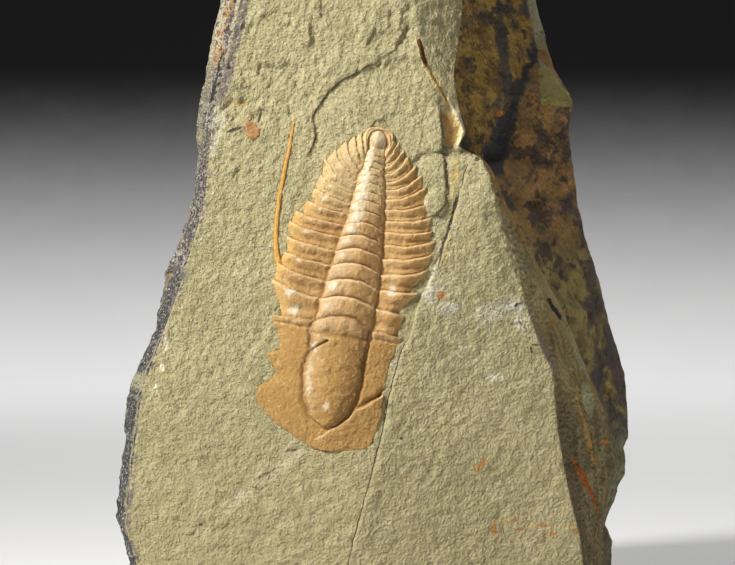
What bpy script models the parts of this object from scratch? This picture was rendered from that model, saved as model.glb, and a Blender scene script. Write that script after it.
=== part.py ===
"""A trilobite lying head down on the front face of a broken block of siltstone.

Metres, +Z up. The front bedding face looks towards -Y, the foot stands on Z = 0 and the block is
centred on X and Y. Lengths below are in millimetres on the block, and the fossil is measured in its
own frame: along its body from the front of the head, and out from its midline, plus to the right.
"""

import math

import bmesh
import bpy
from mathutils import Vector, noise

MM = 0.001
GAP = 0.3  # clearance between neighbouring pieces
POCKET_CLEARANCE = 0.42  # the same round the fossil, with room for its curved edges

# The block
HEIGHT = 102.0
DEPTH = 43.0
MIDDLE = (1.4, 20.6)  # x and depth of the centre of the block's own bounding box
HEIGHT_ROWS = 34
FRONT_COLUMNS = 30
BEVEL_COLUMNS = 3
SIDE_COLUMNS = 8
BACK_COLUMNS = 12
LEFT_COLUMNS = 4
CHAMFER_COLUMNS = 2
STRIP_COLUMNS = 3
TOP_RINGS = 4
TOP_BEGINS = 78.0  # height above which the outlines rise and fall with the broken top
RIGHT_CHAMFER = (6.0, 7.9)  # how far the back's right corner is broken off, in width and depth
LEFT_CHAMFER = (4.0, 7.8)
BACK_SETBACK = 0.6  # the back's corners stand in front of its deepest plane
LEFT_TAPER = 0.95  # the left side's width at the back, as a share of that at the front
STRIP_DEPTH = 6.5  # the dark strip along the left edge runs back this far
ROUGHNESS = 0.9  # how far the broken faces wander
WANDER = 1.5  # the same over the whole face
EDGE_ROUGHNESS = 0.25  # the share of both that is left along the measured edges
FACE_ROUGHNESS = 0.12

# Edges of the block as seen from the front: (height, x)
LEFT_SIDE = [(0, -36.8), (9, -38.9), (13.5, -40.2), (18, -39.6), (24, -38.8), (31, -38.2), (37, -36.6),
             (42, -34.3), (53, -31.6), (58, -29.5), (64, -27.6), (76, -27.1), (83, -25.8), (90, -24.6),
             (102, -22.0)]
FRONT_LEFT = [(0, -34.4), (12, -38.0), (24, -36.7), (33, -35.5), (48, -30.0), (62, -25.8),
              (75, -24.6), (90, -21.2), (102, -19.0)]
FRONT_RIGHT = [(0, 33.6), (10, 32.4), (18, 30.4), (27, 28.8), (36, 28.0), (40, 26.0), (49, 22.8),
               (57.5, 19.7), (66, 17.9), (69.2, 16.4), (70.8, 13.3), (73, 14.4), (76.6, 13.4),
               (81.5, 12.5), (90, 13.8), (102, 14.6)]
BEVEL_EDGE = [(0, 37.6), (9, 36.8), (13, 37.2), (16, 38.0), (20, 39.0), (28.5, 37.4), (36, 34.0),
              (45.5, 30.0), (55, 24.9), (62, 20.6), (67, 18.6), (71, 15.2), (77, 14.8), (90, 15.4),
              (102, 16.0)]
RIGHT_BACK = [(0, 39.6), (7, 39.8), (9.7, 38.6), (11, 39.0), (14, 40.0), (16, 40.6), (18, 41.9),
              (20.5, 41.9), (22.5, 41.4), (24, 42.3), (28, 42.4), (35, 41.7), (44, 39.0), (52, 37.0),
              (57.5, 35.2), (63.5, 34.0), (75, 32.6), (80, 33.2), (86, 30.1), (91, 28.7), (102, 26.5)]
BEVEL_DEPTH = [(0, 10.0), (20, 12.0), (50, 11.0), (64, 8.0), (70, 5.0), (102, 5.5)]

# Ledges and facets of the front face, all on x and height
LEDGE = [(5.2, 88.5), (3.6, 85.2), (1.2, 83.8), (-1.2, 82.5), (-4.5, 80.9), (-7.9, 77.7), (-9.3, 75.2),
         (-8.8, 72.0), (-9.5, 69.7)]
LEDGE_STEP = 0.8
LEDGE_FADE = 16.0  # the step dies out this far to either side
RAMP = 2.2  # width of the slope that each ledge is drawn with
CRACK = [(14.6, 68.0), (13.2, 63.2), (12.1, 59.1), (9.9, 53.2), (6.7, 46.0), (4.4, 39.4), (2.4, 31.8),
         (0.4, 22.3), (-1.3, 16.0), (-3.0, 10.0), (-5.2, 0.0)]
FACET_LIP = 0.35  # how far the front right facet stands above the face along the crack
FACET_SLOPE = math.tan(math.radians(9.0))
APEX_RAMP = 2.0
TOP_FACET = [(72.0, 10.6), (80.0, 9.6), (84.0, 7.8), (90.0, 6.6), (102.0, 5.6)]
TOP_FACET_SLOPE = math.tan(math.radians(27.0))
FOOT_CHIP = 1.3
CHIP_HEIGHT = 4.0

# The fossil in its own frame, along then out
HEAD_FRONT = (-7.83, 24.0)
TILT = math.radians(10.1)
LENGTH = 50.4
SEGMENTS = 15
NECK_REAR = 20.9
FIRST_SEGMENT = 3.0
SHRINK = 0.915
BOW = 0.45
UNDERSIDE = -1.0
HEAD_LEFT = [(0, 1.3), (0.6, 2.6), (1.4, 4.6), (2.1, 6.0), (3.0, 7.8), (4.1, 9.3), (5.3, 10.6),
             (6.7, 11.4), (8.2, 11.1), (9.4, 9.5), (10.4, 8.7), (11.9, 10.2), (13.1, 10.6), (14.0, 9.1),
             (16.9, 9.7), (18.1, 10.8), (19.1, 11.1)]
HEAD_RIGHT = [(0, 1.4), (0.6, 3.0), (1.3, 5.6), (2.5, 7.0), (4.0, 7.8), (6.0, 7.8), (8.7, 7.7),
              (11.0, 7.2), (14.5, 7.5), (16.8, 8.3), (19.1, 9.1)]
HEAD_ROWS = [0.0, 0.6, 1.4, 2.1, 3.0, 4.1, 5.3, 6.7, 8.2, 9.4, 10.4, 11.9, 13.1, 14.0, 15.5, 16.9, 17.6,
             18.3, 19.1]
GLABELLA = [(0, 0.4), (3.4, 1.3), (4.6, 2.4), (6.8, 3.5), (9.0, 4.1), (11.0, 4.6), (13.0, 4.5),
            (15.0, 4.2), (17.6, 4.5), (19.1, 4.5)]
GLABELLA_FRONT = 3.5
GLABELLA_RISE = 2.0
NECK_FURROW = 17.6
LEFT_TIPS = [(19.1, 11.1), (24.8, 12.4), (27.2, 11.6), (29.1, 10.9), (31.5, 10.9), (33.8, 11.1),
             (35.5, 10.2), (37.4, 8.8), (39.5, 8.1), (41.8, 7.7), (44.2, 7.2), (45.9, 6.0), (47.5, 4.6),
             (48.4, 3.3), (49.1, 2.4), (49.7, 1.7)]
RIGHT_TIPS = [(19.1, 9.1), (22.6, 8.9), (26.6, 10.6), (30.2, 11.4), (32.8, 11.7), (34.7, 11.6),
              (36.2, 11.0), (38.1, 10.2), (40.3, 9.5), (42.7, 8.6), (44.3, 7.6), (45.8, 6.7),
              (46.9, 5.2), (47.8, 4.2), (48.7, 3.3), (49.5, 2.5)]
NOTCH = 1.1  # how far each pleura stands out past the one behind it
ACROSS_PLEURA = [1.0, 0.86, 0.7, 0.52, 0.34, 0.16, 0.0]
ACROSS_AXIS = [0.78, 0.42, 0.0]
ALONG_SEGMENT = [0.1, 0.24, 0.46, 0.74, 1.0]
LONG_SPINE = [(25.2, -9.4), (26.2, -11.2), (27.9, -12.2), (30.0, -12.8), (33.0, -13.2), (37.0, -13.4),
              (41.4, -13.2), (45.4, -13.0), (49.2, -13.1)]
LONG_SPINE_RADII = [0.7, 0.68, 0.62, 0.52, 0.46, 0.42, 0.36, 0.28, 0.2]

# The piece of shell
SHELL_AT = (-18.5, 73.3)
SHELL_SIZE = (1.25, 0.75, 1.95)
SHELL_TURN = math.radians(-28.0)

COLOURS = {
    "matrix": ((0.45, 0.40, 0.24), 0.95),
    "trilobite": ((0.58, 0.33, 0.13), 0.75),
    "shell_fragment": ((0.38, 0.19, 0.07), 0.7),
}


def clamp(value, low=0.0, high=1.0):
    return max(low, min(high, value))


def ease(value):
    t = clamp(value)
    return t * t * (3 - 2 * t)


def along(points, at):
    """The second value of a list of pairs at this first value, straight between its points."""
    for (a, left), (b, right) in zip(points, points[1:]):
        if at <= b:
            return left + (right - left) * clamp((at - a) / (b - a))
    return points[-1][1]


def rough(place, size, seed):
    """Broken-stone relief, from -1 to 1 or so, at a grain of this many millimetres."""
    return noise.fractal(Vector(place) / size + Vector((seed, 0, 0)), 0.9, 2.1, 4)


def side_of(line, x, z):
    """How far a point lies to the right of a line that runs downwards, and how far past its ends."""
    best = None
    for (x0, z0), (x1, z1) in zip(line, line[1:]):
        dx, dz = x1 - x0, z1 - z0
        t = ((x - x0) * dx + (z - z0) * dz) / (dx * dx + dz * dz)
        s = clamp(t)
        away = math.hypot(x - x0 - s * dx, z - z0 - s * dz)
        if best is None or away < best[0]:
            side = (x - x0) * dz - (z - z0) * dx
            best = (away, math.copysign(1.0, -side), t - s)
    return best[0] * best[1], abs(best[2])


def front_depth(x, z):
    """Depth of the front face behind its highest plane: ledge, two facets, chipped foot, roughness."""
    aside, past_end = side_of(LEDGE, x, z)
    fade = ease(1 - abs(aside) / LEDGE_FADE) * ease(1 - 1.5 * past_end)
    depth = LEDGE_STEP * ease(aside / RAMP + 0.5) * fade
    aside = max(0.0, side_of(CRACK, x, z)[0])
    below_apex = ease((CRACK[0][1] + APEX_RAMP - z) / APEX_RAMP)
    depth += below_apex * (aside * FACET_SLOPE - FACET_LIP * ease(aside / RAMP))
    aside = max(0.0, x - along(TOP_FACET, z))
    depth += (1 - below_apex) * aside * TOP_FACET_SLOPE
    chipped = ease(1 - z / CHIP_HEIGHT) * (0.7 + 0.5 * rough((x, 0, 0), 8.0, 7.0))
    return depth + FOOT_CHIP * chipped + FACE_ROUGHNESS * rough((x, 0, z), 9.0, 3.0)


def section(z):
    """The block's outline at one height, round from the front left edge: x, depth and roughness."""
    left, right = along(FRONT_LEFT, z), along(FRONT_RIGHT, z)
    ring = []
    for column in range(FRONT_COLUMNS):
        x = left + (right - left) * column / (FRONT_COLUMNS - 1)
        ring.append((x, front_depth(x, z), 0.0))
    front_left, front_right = ring[0][:2], ring[-1][:2]
    bevel = (along(BEVEL_EDGE, z), front_right[1] + along(BEVEL_DEPTH, z))
    strip = (along(LEFT_SIDE, z), STRIP_DEPTH)
    back = DEPTH - BACK_SETBACK
    side_right = (along(RIGHT_BACK, z), back - RIGHT_CHAMFER[1])
    back_right = (side_right[0] - RIGHT_CHAMFER[0], back)
    side_left = (strip[0] * LEFT_TAPER, back - LEFT_CHAMFER[1])
    back_left = (side_left[0] + LEFT_CHAMFER[0], back)
    stretches = [
        (front_right, bevel, BEVEL_COLUMNS, 0.5),
        (bevel, side_right, SIDE_COLUMNS, 1.0),
        (side_right, back_right, CHAMFER_COLUMNS, 1.0),
        (back_right, back_left, BACK_COLUMNS, 1.0),
        (back_left, side_left, CHAMFER_COLUMNS, 1.0),
        (side_left, strip, LEFT_COLUMNS, 1.0),
        (strip, front_left, STRIP_COLUMNS, 0.6),
    ]
    for (x0, y0), (x1, y1), columns, roughness in stretches:
        for column in range(1, columns + 1):
            t = column / columns
            free = EDGE_ROUGHNESS + (1 - EDGE_ROUGHNESS) * math.sin(math.pi * t)
            ring.append((x0 + (x1 - x0) * t, y0 + (y1 - y0) * t, roughness * free))
    return ring[:-1]


def broken_ring(z):
    """The outline with its roughness, pushed out along the way each stretch of it faces."""
    ring = section(z)
    points = []
    for i, (x, y, roughness) in enumerate(ring):
        (xa, ya, _), (xb, yb, _) = ring[i - 1], ring[(i + 1) % len(ring)]
        facing = Vector((yb - ya, xa - xb)).normalized()
        push = ROUGHNESS * rough((x, y, z), 11.0, 11.0) + WANDER * rough((x, y, z), 38.0, 17.0)
        push *= roughness
        points.append((x + facing.x * push, y + facing.y * push))
    return points


def top_height(x, y):
    """The broken top above its mean height: three facets that meet in blunt ridges."""
    facets = (-0.05 * (x + 3) - 0.12 * (y - 20), 0.32 * (x + 16) + 0.1 * y, 4.5 - 0.45 * (y - 18))
    return min(facets) + 0.8 * rough((x, y, 0), 14.0, 29.0)


def to_world(x, depth, z):
    return Vector(((x - MIDDLE[0]) * MM, (depth - MIDDLE[1]) * MM, z * MM))


def body_point(along_body, out, rise):
    """A point of the fossil's own frame, standing out of the front face by rise."""
    x = HEAD_FRONT[0] + along_body * math.sin(TILT) + out * math.cos(TILT)
    z = HEAD_FRONT[1] + along_body * math.cos(TILT) - out * math.sin(TILT)
    return to_world(x, -rise, z)


def make_object(name, bm, collection):
    bmesh.ops.recalc_face_normals(bm, faces=bm.faces)
    mesh = bpy.data.meshes.new(name)
    bm.to_mesh(mesh)
    bm.free()
    obj = bpy.data.objects.new(name, mesh)
    collection.objects.link(obj)
    return obj


def hide_as_cutter(obj):
    obj.hide_render = True
    obj.display_type = "WIRE"


def paint(obj):
    colour, roughness = COLOURS[obj.name]
    material = bpy.data.materials.new(obj.name)
    material.use_nodes = True
    shader = material.node_tree.nodes["Principled BSDF"]
    shader.inputs["Base Color"].default_value = (*colour, 1.0)
    shader.inputs["Roughness"].default_value = roughness
    obj.data.materials.clear()
    obj.data.materials.append(material)


def cut(obj, cutter, operation="DIFFERENCE"):
    modifier = obj.modifiers.new(cutter.name, "BOOLEAN")
    modifier.operation = operation
    modifier.object = cutter


def bridge(bm, lower, upper):
    """A band of faces between two closed rings of as many points."""
    count = len(lower)
    for i in range(count):
        j = (i + 1) % count
        bm.faces.new((lower[i], lower[j], upper[j], upper[i]))


def make_matrix(collection):
    """The block: a loft of its outlines from the foot up, closed over a rough top."""
    bm = bmesh.new()
    below = None
    for row in range(HEIGHT_ROWS + 1):
        z = HEIGHT * row / HEIGHT_ROWS
        share = ease((z - TOP_BEGINS) / (HEIGHT - TOP_BEGINS))
        ring = [bm.verts.new(to_world(x, y, z + share * top_height(x, y))) for x, y in broken_ring(z)]
        if below is None:
            bm.faces.new(ring)
        else:
            bridge(bm, below, ring)
        below = ring
    rim = broken_ring(HEIGHT)
    middle = (sum(x for x, _ in rim) / len(rim), sum(y for _, y in rim) / len(rim))
    for step in range(1, TOP_RINGS):
        keep = 1 - step / TOP_RINGS
        ring = []
        for x, y in rim:
            x1, y1 = middle[0] + (x - middle[0]) * keep, middle[1] + (y - middle[1]) * keep
            ring.append(bm.verts.new(to_world(x1, y1, HEIGHT + top_height(x1, y1))))
        bridge(bm, below, ring)
        below = ring
    peak = bm.verts.new(to_world(*middle, HEIGHT + top_height(*middle)))
    for i, vert in enumerate(below):
        bm.faces.new((vert, below[(i + 1) % len(below)], peak))
    return make_object("matrix", bm, collection)


def ring_rear(i):
    """Where ring i ends on the midline; ring 0 is the neck ring."""
    return NECK_REAR + FIRST_SEGMENT * (1 - SHRINK ** i) / (1 - SHRINK)


def arch(i):
    """How far a ring's rear edge bows back over the axis."""
    return 1.5 if i == 0 else 1.0 - 0.03 * i


def bow(a):
    return BOW * math.sin(math.pi * clamp((a - 22) / (LENGTH - 22)))


def axis_half(a):
    t = clamp((a - 18.7) / 28.3)
    return 4.4 - 1.3 * t - 1.9 * t * t


def pleura_line(i, side, s):
    """The rear edge of pleura i from the axial furrow, s = 0, to its tip, s = 1."""
    root_a = ring_rear(i) - arch(i)
    root = Vector((root_a, side * axis_half(root_a) + bow(root_a)))
    tip_a, tip_out = (RIGHT_TIPS if side > 0 else LEFT_TIPS)[i]
    tip = Vector((tip_a, side * tip_out))
    bend = Vector((root.x + 0.12 * (tip.x - root.x), root.y + 0.62 * (tip.y - root.y)))
    return root * (1 - s) ** 2 + bend * 2 * s * (1 - s) + tip * s * s


def pleura_relief(v):
    """Two bands and the furrow between them, from a segment's front, v = 0, to its rear, v = 1."""
    front_band = 0.75 * math.exp(-(((v - 0.24) / 0.12) ** 2))
    rear_band = ease((v - 0.42) / 0.3)
    return max(front_band, rear_band)


def ring_relief(v):
    return ease((v - 0.05) / 0.5) - 0.15 * ease((v - 0.75) / 0.25)


def pleura_rise(i, v, s):
    """How high a pleura stands above the face: level out to its bend, then down to its tip."""
    size = 1 - 0.4 * i / SEGMENTS
    level = 0.95 * size * (1 - clamp(s) ** 2.4) + 0.12
    furrow = 0.18 * math.exp(-((s / 0.08) ** 2))
    bands = 0.32 * size * ease(s / 0.15) * ease((1.15 - s) / 0.4)
    return level - furrow + bands * (pleura_relief(v) - 0.6)


def axis_rise(i, v, t):
    """How high a ring stands, t running from -1 to 1 across it."""
    size = 1 - 0.52 * (i - 1 + v) / SEGMENTS
    dome = math.sqrt(max(0.0, 1 - t * t))
    return 0.9 * (1 - 0.4 * i / SEGMENTS) + dome * (1.9 * size - 0.4 * size * (1 - ring_relief(v)))


def thorax_row(i, v):
    """One row of points across segment i, left tip to right tip."""
    row = []
    for side in (-1, 1):
        tip = pleura_line(i, side, 1.0)
        root = pleura_line(i, side, 0.0)
        notch = min(0.3, NOTCH / (tip - root).length)
        reach = 1 - notch * (1 - v) ** 1.4
        line = []
        for s in ACROSS_PLEURA:
            t = s * reach
            point = pleura_line(i - 1, side, t).lerp(pleura_line(i, side, t), v)
            line.append((point, pleura_rise(i, v, t)))
        row.append(line)
    left, right = row[0], row[1][::-1]
    inner_left, inner_right = left[-1][0], right[0][0]
    bulge = (arch(i - 1) * (1 - v) + arch(i) * v)
    middle = []
    for t in [-x for x in ACROSS_AXIS] + ACROSS_AXIS[::-1][1:]:
        point = inner_left.lerp(inner_right, 0.5 + 0.5 * t)
        point = point + Vector((bulge * (1 - t * t), 0))
        middle.append((point, axis_rise(i, v, t)))
    return left + middle + right


def head_rise(a, out):
    """The head shield: cheeks, brim, glabella, neck furrow and neck ring."""
    half = along(GLABELLA, min(a, 19.1))
    edge = along(HEAD_LEFT if out < 0 else HEAD_RIGHT, min(a, 19.1))
    share = clamp((abs(out) - half) / max(edge - half, 0.1))
    rise = 0.35 + 0.55 * ease(a / 12) * (1 - share ** 2) - 0.1 * share
    rise -= 0.22 * math.exp(-((share / 0.12) ** 2)) * ease((a - 2) / 4)
    border = clamp((out + 1.1) * 0.93 - (a - 1.5) * 0.9)
    rise += 0.35 * ease(border / 0.8) * ease(1 - share * 0.3)
    rise -= 0.25 * math.exp(-(((a - 18.1) / 0.35) ** 2)) * ease((share - 0.02) / 0.1)
    if abs(out) < half and a > GLABELLA_FRONT:
        dome = math.sqrt(1 - (out / half) ** 2)
        nose = math.sqrt(1 - clamp((9.5 - a) / (9.5 - GLABELLA_FRONT)) ** 2)
        rise += GLABELLA_RISE * dome ** 0.8 * nose
        rise -= 0.55 * dome * math.exp(-(((a - NECK_FURROW) / 0.5) ** 2))
    return rise


def head_row(a):
    """One row across the head shield; the rear rows bow back over the neck ring."""
    half = along(GLABELLA, a)
    left, right = along(HEAD_LEFT, a), along(HEAD_RIGHT, a)
    bulge = arch(0) * ease((a - 17.3) / 1.8)
    across = [(-half - (left - half) * s, 0.0) for s in ACROSS_PLEURA]
    across += [(t * half, 1 - t * t) for t in [-x for x in ACROSS_AXIS] + ACROSS_AXIS[::-1][1:]]
    across += [(half + (right - half) * s, 0.0) for s in ACROSS_PLEURA[::-1]]
    return [(Vector((a + bulge * dome, out)), head_rise(a, out)) for out, dome in across]


def tail_row(step):
    """Rows of the tail shield, closing from the last pleurae to the end of the body."""
    ends = [pleura_line(SEGMENTS, side, 1.0) for side in (-1, 1)]
    roots = [pleura_line(SEGMENTS, side, 0.0) for side in (-1, 1)]
    turn = step * math.pi / 2
    end = Vector((LENGTH, 0.35))
    row = []
    for side, tip, root in zip((-1, 1), ends, roots):
        outer = Vector((tip.x + (end.x - tip.x) * math.sin(turn),
                        end.y + (tip.y - end.y) * (1 - step * 0.75)))
        inner = Vector((root.x + (LENGTH - 0.9 - root.x) * step,
                        0.35 + (root.y - 0.35) * (math.cos(turn) * 0.7 + 0.3)))
        line = []
        for s in ACROSS_PLEURA:
            point = inner.lerp(outer, s)
            line.append((point, 0.45 - 0.25 * s + 0.12 * ease((s - 0.5) / 0.3) - 0.1 * step))
        row.append(line)
    left, right = row[0], row[1][::-1]
    middle = []
    for t in [-x for x in ACROSS_AXIS] + ACROSS_AXIS[::-1][1:]:
        point = left[-1][0].lerp(right[0][0], 0.5 + 0.5 * t)
        dome = math.sqrt(1 - t * t)
        point = point + Vector((arch(SEGMENTS) * (1 - t * t) * (1 - step), 0))
        middle.append((point, 0.5 + 0.85 * dome * math.sqrt(1 - (0.93 * step) ** 2)))
    return left + middle + right


def body_rows():
    rows = [head_row(a) for a in HEAD_ROWS]
    for i in range(1, SEGMENTS + 1):
        rows += [thorax_row(i, v) for v in ALONG_SEGMENT]
    rows += [tail_row(step) for step in (0.2, 0.5, 0.8, 1.0)]
    return rows


def make_trilobite(collection):
    """The fossil: a relief lofted from row to row, on a flat underside in the rock."""
    bm = bmesh.new()
    grid = []
    floor = []
    for row in body_rows():
        grid.append([bm.verts.new(body_point(p.x, p.y, rise)) for p, rise in row])
        ends = (row[0][0], row[-1][0])
        floor.append([bm.verts.new(body_point(p.x, p.y, UNDERSIDE)) for p in ends])
    for lower, upper in zip(grid, grid[1:]):
        for i in range(len(lower) - 1):
            bm.faces.new((lower[i], lower[i + 1], upper[i + 1], upper[i]))
    for k in range(len(grid) - 1):
        for edge in (0, -1):
            bm.faces.new((grid[k][edge], grid[k + 1][edge], floor[k + 1][edge], floor[k][edge]))
    bm.faces.new(grid[0] + floor[0][::-1])
    bm.faces.new(grid[-1] + floor[-1][::-1])
    bm.faces.new([pair[0] for pair in floor] + [pair[1] for pair in reversed(floor)])
    return make_object("trilobite", bm, collection)


def make_spine(name, extra, collection):
    """The long spine as a tapering tube, half sunk in the face; extra makes it fatter and longer."""
    curve = bpy.data.curves.new(name, "CURVE")
    curve.dimensions = "3D"
    curve.bevel_depth = MM
    curve.bevel_resolution = 2
    curve.use_fill_caps = True
    line = LONG_SPINE if extra == 0 else LONG_SPINE + [(LONG_SPINE[-1][0] + extra + 0.1, LONG_SPINE[-1][1])]
    radii = LONG_SPINE_RADII + LONG_SPINE_RADII[-1:]
    spline = curve.splines.new("POLY")
    spline.points.add(len(line) - 1)
    for point, (a, out), radius in zip(spline.points, line, radii):
        point.co = (*body_point(a, out, 0.05), 1.0)
        point.radius = radius + extra
    holder = bpy.data.objects.new(name, curve)
    collection.objects.link(holder)
    depsgraph = bpy.context.evaluated_depsgraph_get()
    mesh = bpy.data.meshes.new_from_object(holder.evaluated_get(depsgraph))
    bm = bmesh.new()
    bm.from_mesh(mesh)
    bmesh.ops.remove_doubles(bm, verts=bm.verts, dist=1e-6)
    bpy.data.objects.remove(holder)
    bpy.data.meshes.remove(mesh)
    spine = make_object(name, bm, collection)
    hide_as_cutter(spine)
    return spine


def pushed_out(outline, distance):
    """A closed outline, listed anticlockwise, moved outwards by this distance."""
    moved = []
    for i, point in enumerate(outline):
        before = (point - outline[i - 1]).normalized()
        after = (outline[(i + 1) % len(outline)] - point).normalized()
        normal = Vector((before.y + after.y, -before.x - after.x)).normalized()
        reach = distance / max(0.5, normal.dot(Vector((before.y, -before.x))))
        moved.append(point + normal * reach)
    return moved


def make_pocket(collection):
    """The hollow that the fossil lies in, following the head's margin and the tips of the pleurae."""
    left = [Vector((a, -out)) for a, out in HEAD_LEFT] + [Vector((a, -out)) for a, out in LEFT_TIPS[1:]]
    right = [Vector((a, out)) for a, out in HEAD_RIGHT] + [Vector((a, out)) for a, out in RIGHT_TIPS[1:]]
    outline = left + [Vector((LENGTH, -0.4)), Vector((LENGTH, 1.1))] + right[::-1]
    outline = pushed_out(outline, POCKET_CLEARANCE)
    bm = bmesh.new()
    face = bm.faces.new([bm.verts.new(body_point(p.x, p.y, UNDERSIDE - GAP)) for p in outline])
    walls = bmesh.ops.extrude_face_region(bm, geom=[face])
    lid = [item for item in walls["geom"] if isinstance(item, bmesh.types.BMVert)]
    bmesh.ops.translate(bm, verts=lid, vec=(0, -6 * MM, 0))
    pocket = make_object("fossil_pocket", bm, collection)
    hide_as_cutter(pocket)
    return pocket


def make_lens(name, extra, collection):
    """A small curved piece of shell lying in the face; extra makes the hollow that it lies in."""
    bm = bmesh.new()
    bmesh.ops.create_uvsphere(bm, u_segments=12, v_segments=7, radius=1.0)
    for vert in bm.verts:
        vert.co = Vector([c * (size + extra) * MM for c, size in zip(vert.co, SHELL_SIZE)])
    obj = make_object(name, bm, collection)
    obj.location = to_world(SHELL_AT[0], 0.15, SHELL_AT[1])
    obj.rotation_euler = (0.0, SHELL_TURN, 0.0)
    return obj


def main():
    for obj in list(bpy.data.objects):
        bpy.data.objects.remove(obj)
    parts = bpy.data.collections.new("trilobite_on_rock")
    cutters = bpy.data.collections.new("cutters")
    for collection in (parts, cutters):
        bpy.context.scene.collection.children.link(collection)
    matrix = make_matrix(parts)
    trilobite = make_trilobite(parts)
    shell = make_lens("shell_fragment", 0.0, parts)
    shell_hollow = make_lens("shell_hollow", GAP, cutters)
    hide_as_cutter(shell_hollow)
    cut(trilobite, make_spine("long_spine", 0.0, cutters), "UNION")
    cut(matrix, make_pocket(cutters))
    cut(matrix, make_spine("spine_groove", GAP, cutters))
    cut(matrix, shell_hollow)
    for obj in (matrix, trilobite, shell):
        paint(obj)


main()
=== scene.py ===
"""A trilobite lying head down on the front face of a broken block of siltstone."""
import math

import bpy
import numpy as np
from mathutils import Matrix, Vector, noise


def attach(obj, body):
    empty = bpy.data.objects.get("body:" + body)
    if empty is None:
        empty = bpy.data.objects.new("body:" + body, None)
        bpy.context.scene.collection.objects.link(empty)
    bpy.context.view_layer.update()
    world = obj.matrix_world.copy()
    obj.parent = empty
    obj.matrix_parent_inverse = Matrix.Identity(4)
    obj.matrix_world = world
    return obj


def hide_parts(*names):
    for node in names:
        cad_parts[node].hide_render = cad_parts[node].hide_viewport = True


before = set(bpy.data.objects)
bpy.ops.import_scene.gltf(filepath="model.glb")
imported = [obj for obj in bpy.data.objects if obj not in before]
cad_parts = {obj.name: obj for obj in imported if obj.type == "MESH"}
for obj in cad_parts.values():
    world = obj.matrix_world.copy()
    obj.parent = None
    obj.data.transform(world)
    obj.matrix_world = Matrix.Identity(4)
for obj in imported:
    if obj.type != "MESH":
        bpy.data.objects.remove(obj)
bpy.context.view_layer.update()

# The block: one hand-sized piece broken out of a bed of greenish-tan siltstone. Its front is a bedding
# face with a low ledge and a crack, its right a chipped bevel and an old joint face stained by iron and
# manganese, its left edge a weathered strip. Lengths are in millimetres, with depth into the stone.
MM = 0.001
MIDDLE = (1.4, 20.6)
HEIGHT = 102
BACK = 42.4
RIGHT_CHAMFER = (6, 7.9)
LEFT_CHAMFER = (4, 7.8)
HEIGHT_ROWS = 285
FRONT_COLUMNS = 180
BEVEL_COLUMNS, JOINT_COLUMNS, LEFT_COLUMNS, STRIP_COLUMNS = 22, 34, 18, 12
CHAMFER_COLUMNS, BACK_COLUMNS = 8, 28
TOP_RINGS = 22
TOP_BEGINS = 78
BEVEL_TOP = 69.5
STRIP_DEPTH = 6.5
LEFT_TAPER = 0.95
ROUGHNESS = 0.9
WANDER = 1.5
EDGE_ROUGHNESS = 0.25

# the block's edges are (height, x), and the lines on its faces (x, height)
LEFT_SIDE = [(0, -36.8), (9, -38.9), (13.5, -40.2), (18, -39.6), (24, -38.8), (31, -38.2), (37, -36.6),
             (42, -34.3), (53, -31.6), (58, -29.5), (64, -27.6), (76, -27.1), (83, -25.8), (90, -24.6),
             (102, -22)]
FRONT_LEFT = [(0, -34.4), (12, -38), (24, -36.7), (33, -35.5), (48, -30), (62, -25.8),
              (75, -24.6), (90, -21.2), (102, -19)]
FRONT_RIGHT = [(0, 33.6), (10, 32.4), (18, 30.4), (27, 28.8), (36, 28), (40, 26), (49, 22.8),
               (57.5, 19.7), (66, 17.9), (69.2, 16.4), (70.8, 13.3), (73, 14.4), (76.6, 13.4),
               (81.5, 12.5), (90, 13.8), (102, 14.6)]
BEVEL_EDGE = [(0, 37.6), (9, 36.8), (13, 37.2), (16, 38), (20, 39), (28.5, 37.4), (36, 34),
              (45.5, 30), (55, 24.9), (62, 20.6), (67, 18.6), (71, 15.2), (77, 14.8), (90, 15.4),
              (102, 16)]
RIGHT_BACK = [(0, 39.6), (7, 39.8), (9.7, 38.6), (11, 39), (14, 40), (16, 40.6), (18, 41.9),
              (20.5, 41.9), (22.5, 41.4), (24, 42.3), (28, 42.4), (35, 41.7), (44, 39), (52, 37),
              (57.5, 35.2), (63.5, 34), (75, 32.6), (80, 33.2), (86, 30.1), (91, 28.7), (102, 26.5)]
BEVEL_DEPTH = [(0, 10), (20, 12), (50, 11), (64, 8), (70, 5), (102, 5.5)]

LEDGE = [(5.2, 88.5), (3.6, 85.2), (1.2, 83.8), (-1.2, 82.5), (-2.2, 81.8), (-4.5, 80.9), (-7.9, 77.7),
         (-9.3, 75.2), (-8.8, 72), (-9.5, 69.7)]
CRACK = [(14.6, 68), (13.2, 63.2), (12.1, 59.1), (9.9, 53.2), (6.7, 46), (5.6, 41.3), (4.4, 39.4),
         (2.4, 31.8), (1.8, 28.2), (0.4, 22.3), (-1.3, 16), (-3, 10), (-5.2, 0)]
TOP_FACET_TURN = math.radians(32)
TOP_FACET = [(72, 10.6), (80, 9.6), (84, 7.8), (90, 6.6), (102, 5.6)]
FLAKE_RIM = [(11.9, 78), (13.2, 75.8), (14.2, 73.4), (13.9, 71.6), (13.2, 70.4)]
SLIT = [(7, 86.6), (7.5, 85.5), (7.9, 83.7), (9.2, 81.4), (10.4, 79.7), (11.2, 78.3), (11.9, 76.4)]
GROOVE = [(10.5, 77), (10.9, 73), (11, 69), (11.5, 64)]
TAIL_ARC = [(2.4, 73.6), (1.7, 74.8), (0.6, 74.7), (-0.4, 73.6)]
RIGHT_ARC = [(10.6, 69.9), (8.8, 69.8), (7.5, 69.5), (6, 68.3)]
LOBE_SHADOW = [(11.4, 63.9), (11.2, 61.9), (9.9, 60.1), (8.1, 59.8)]
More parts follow.
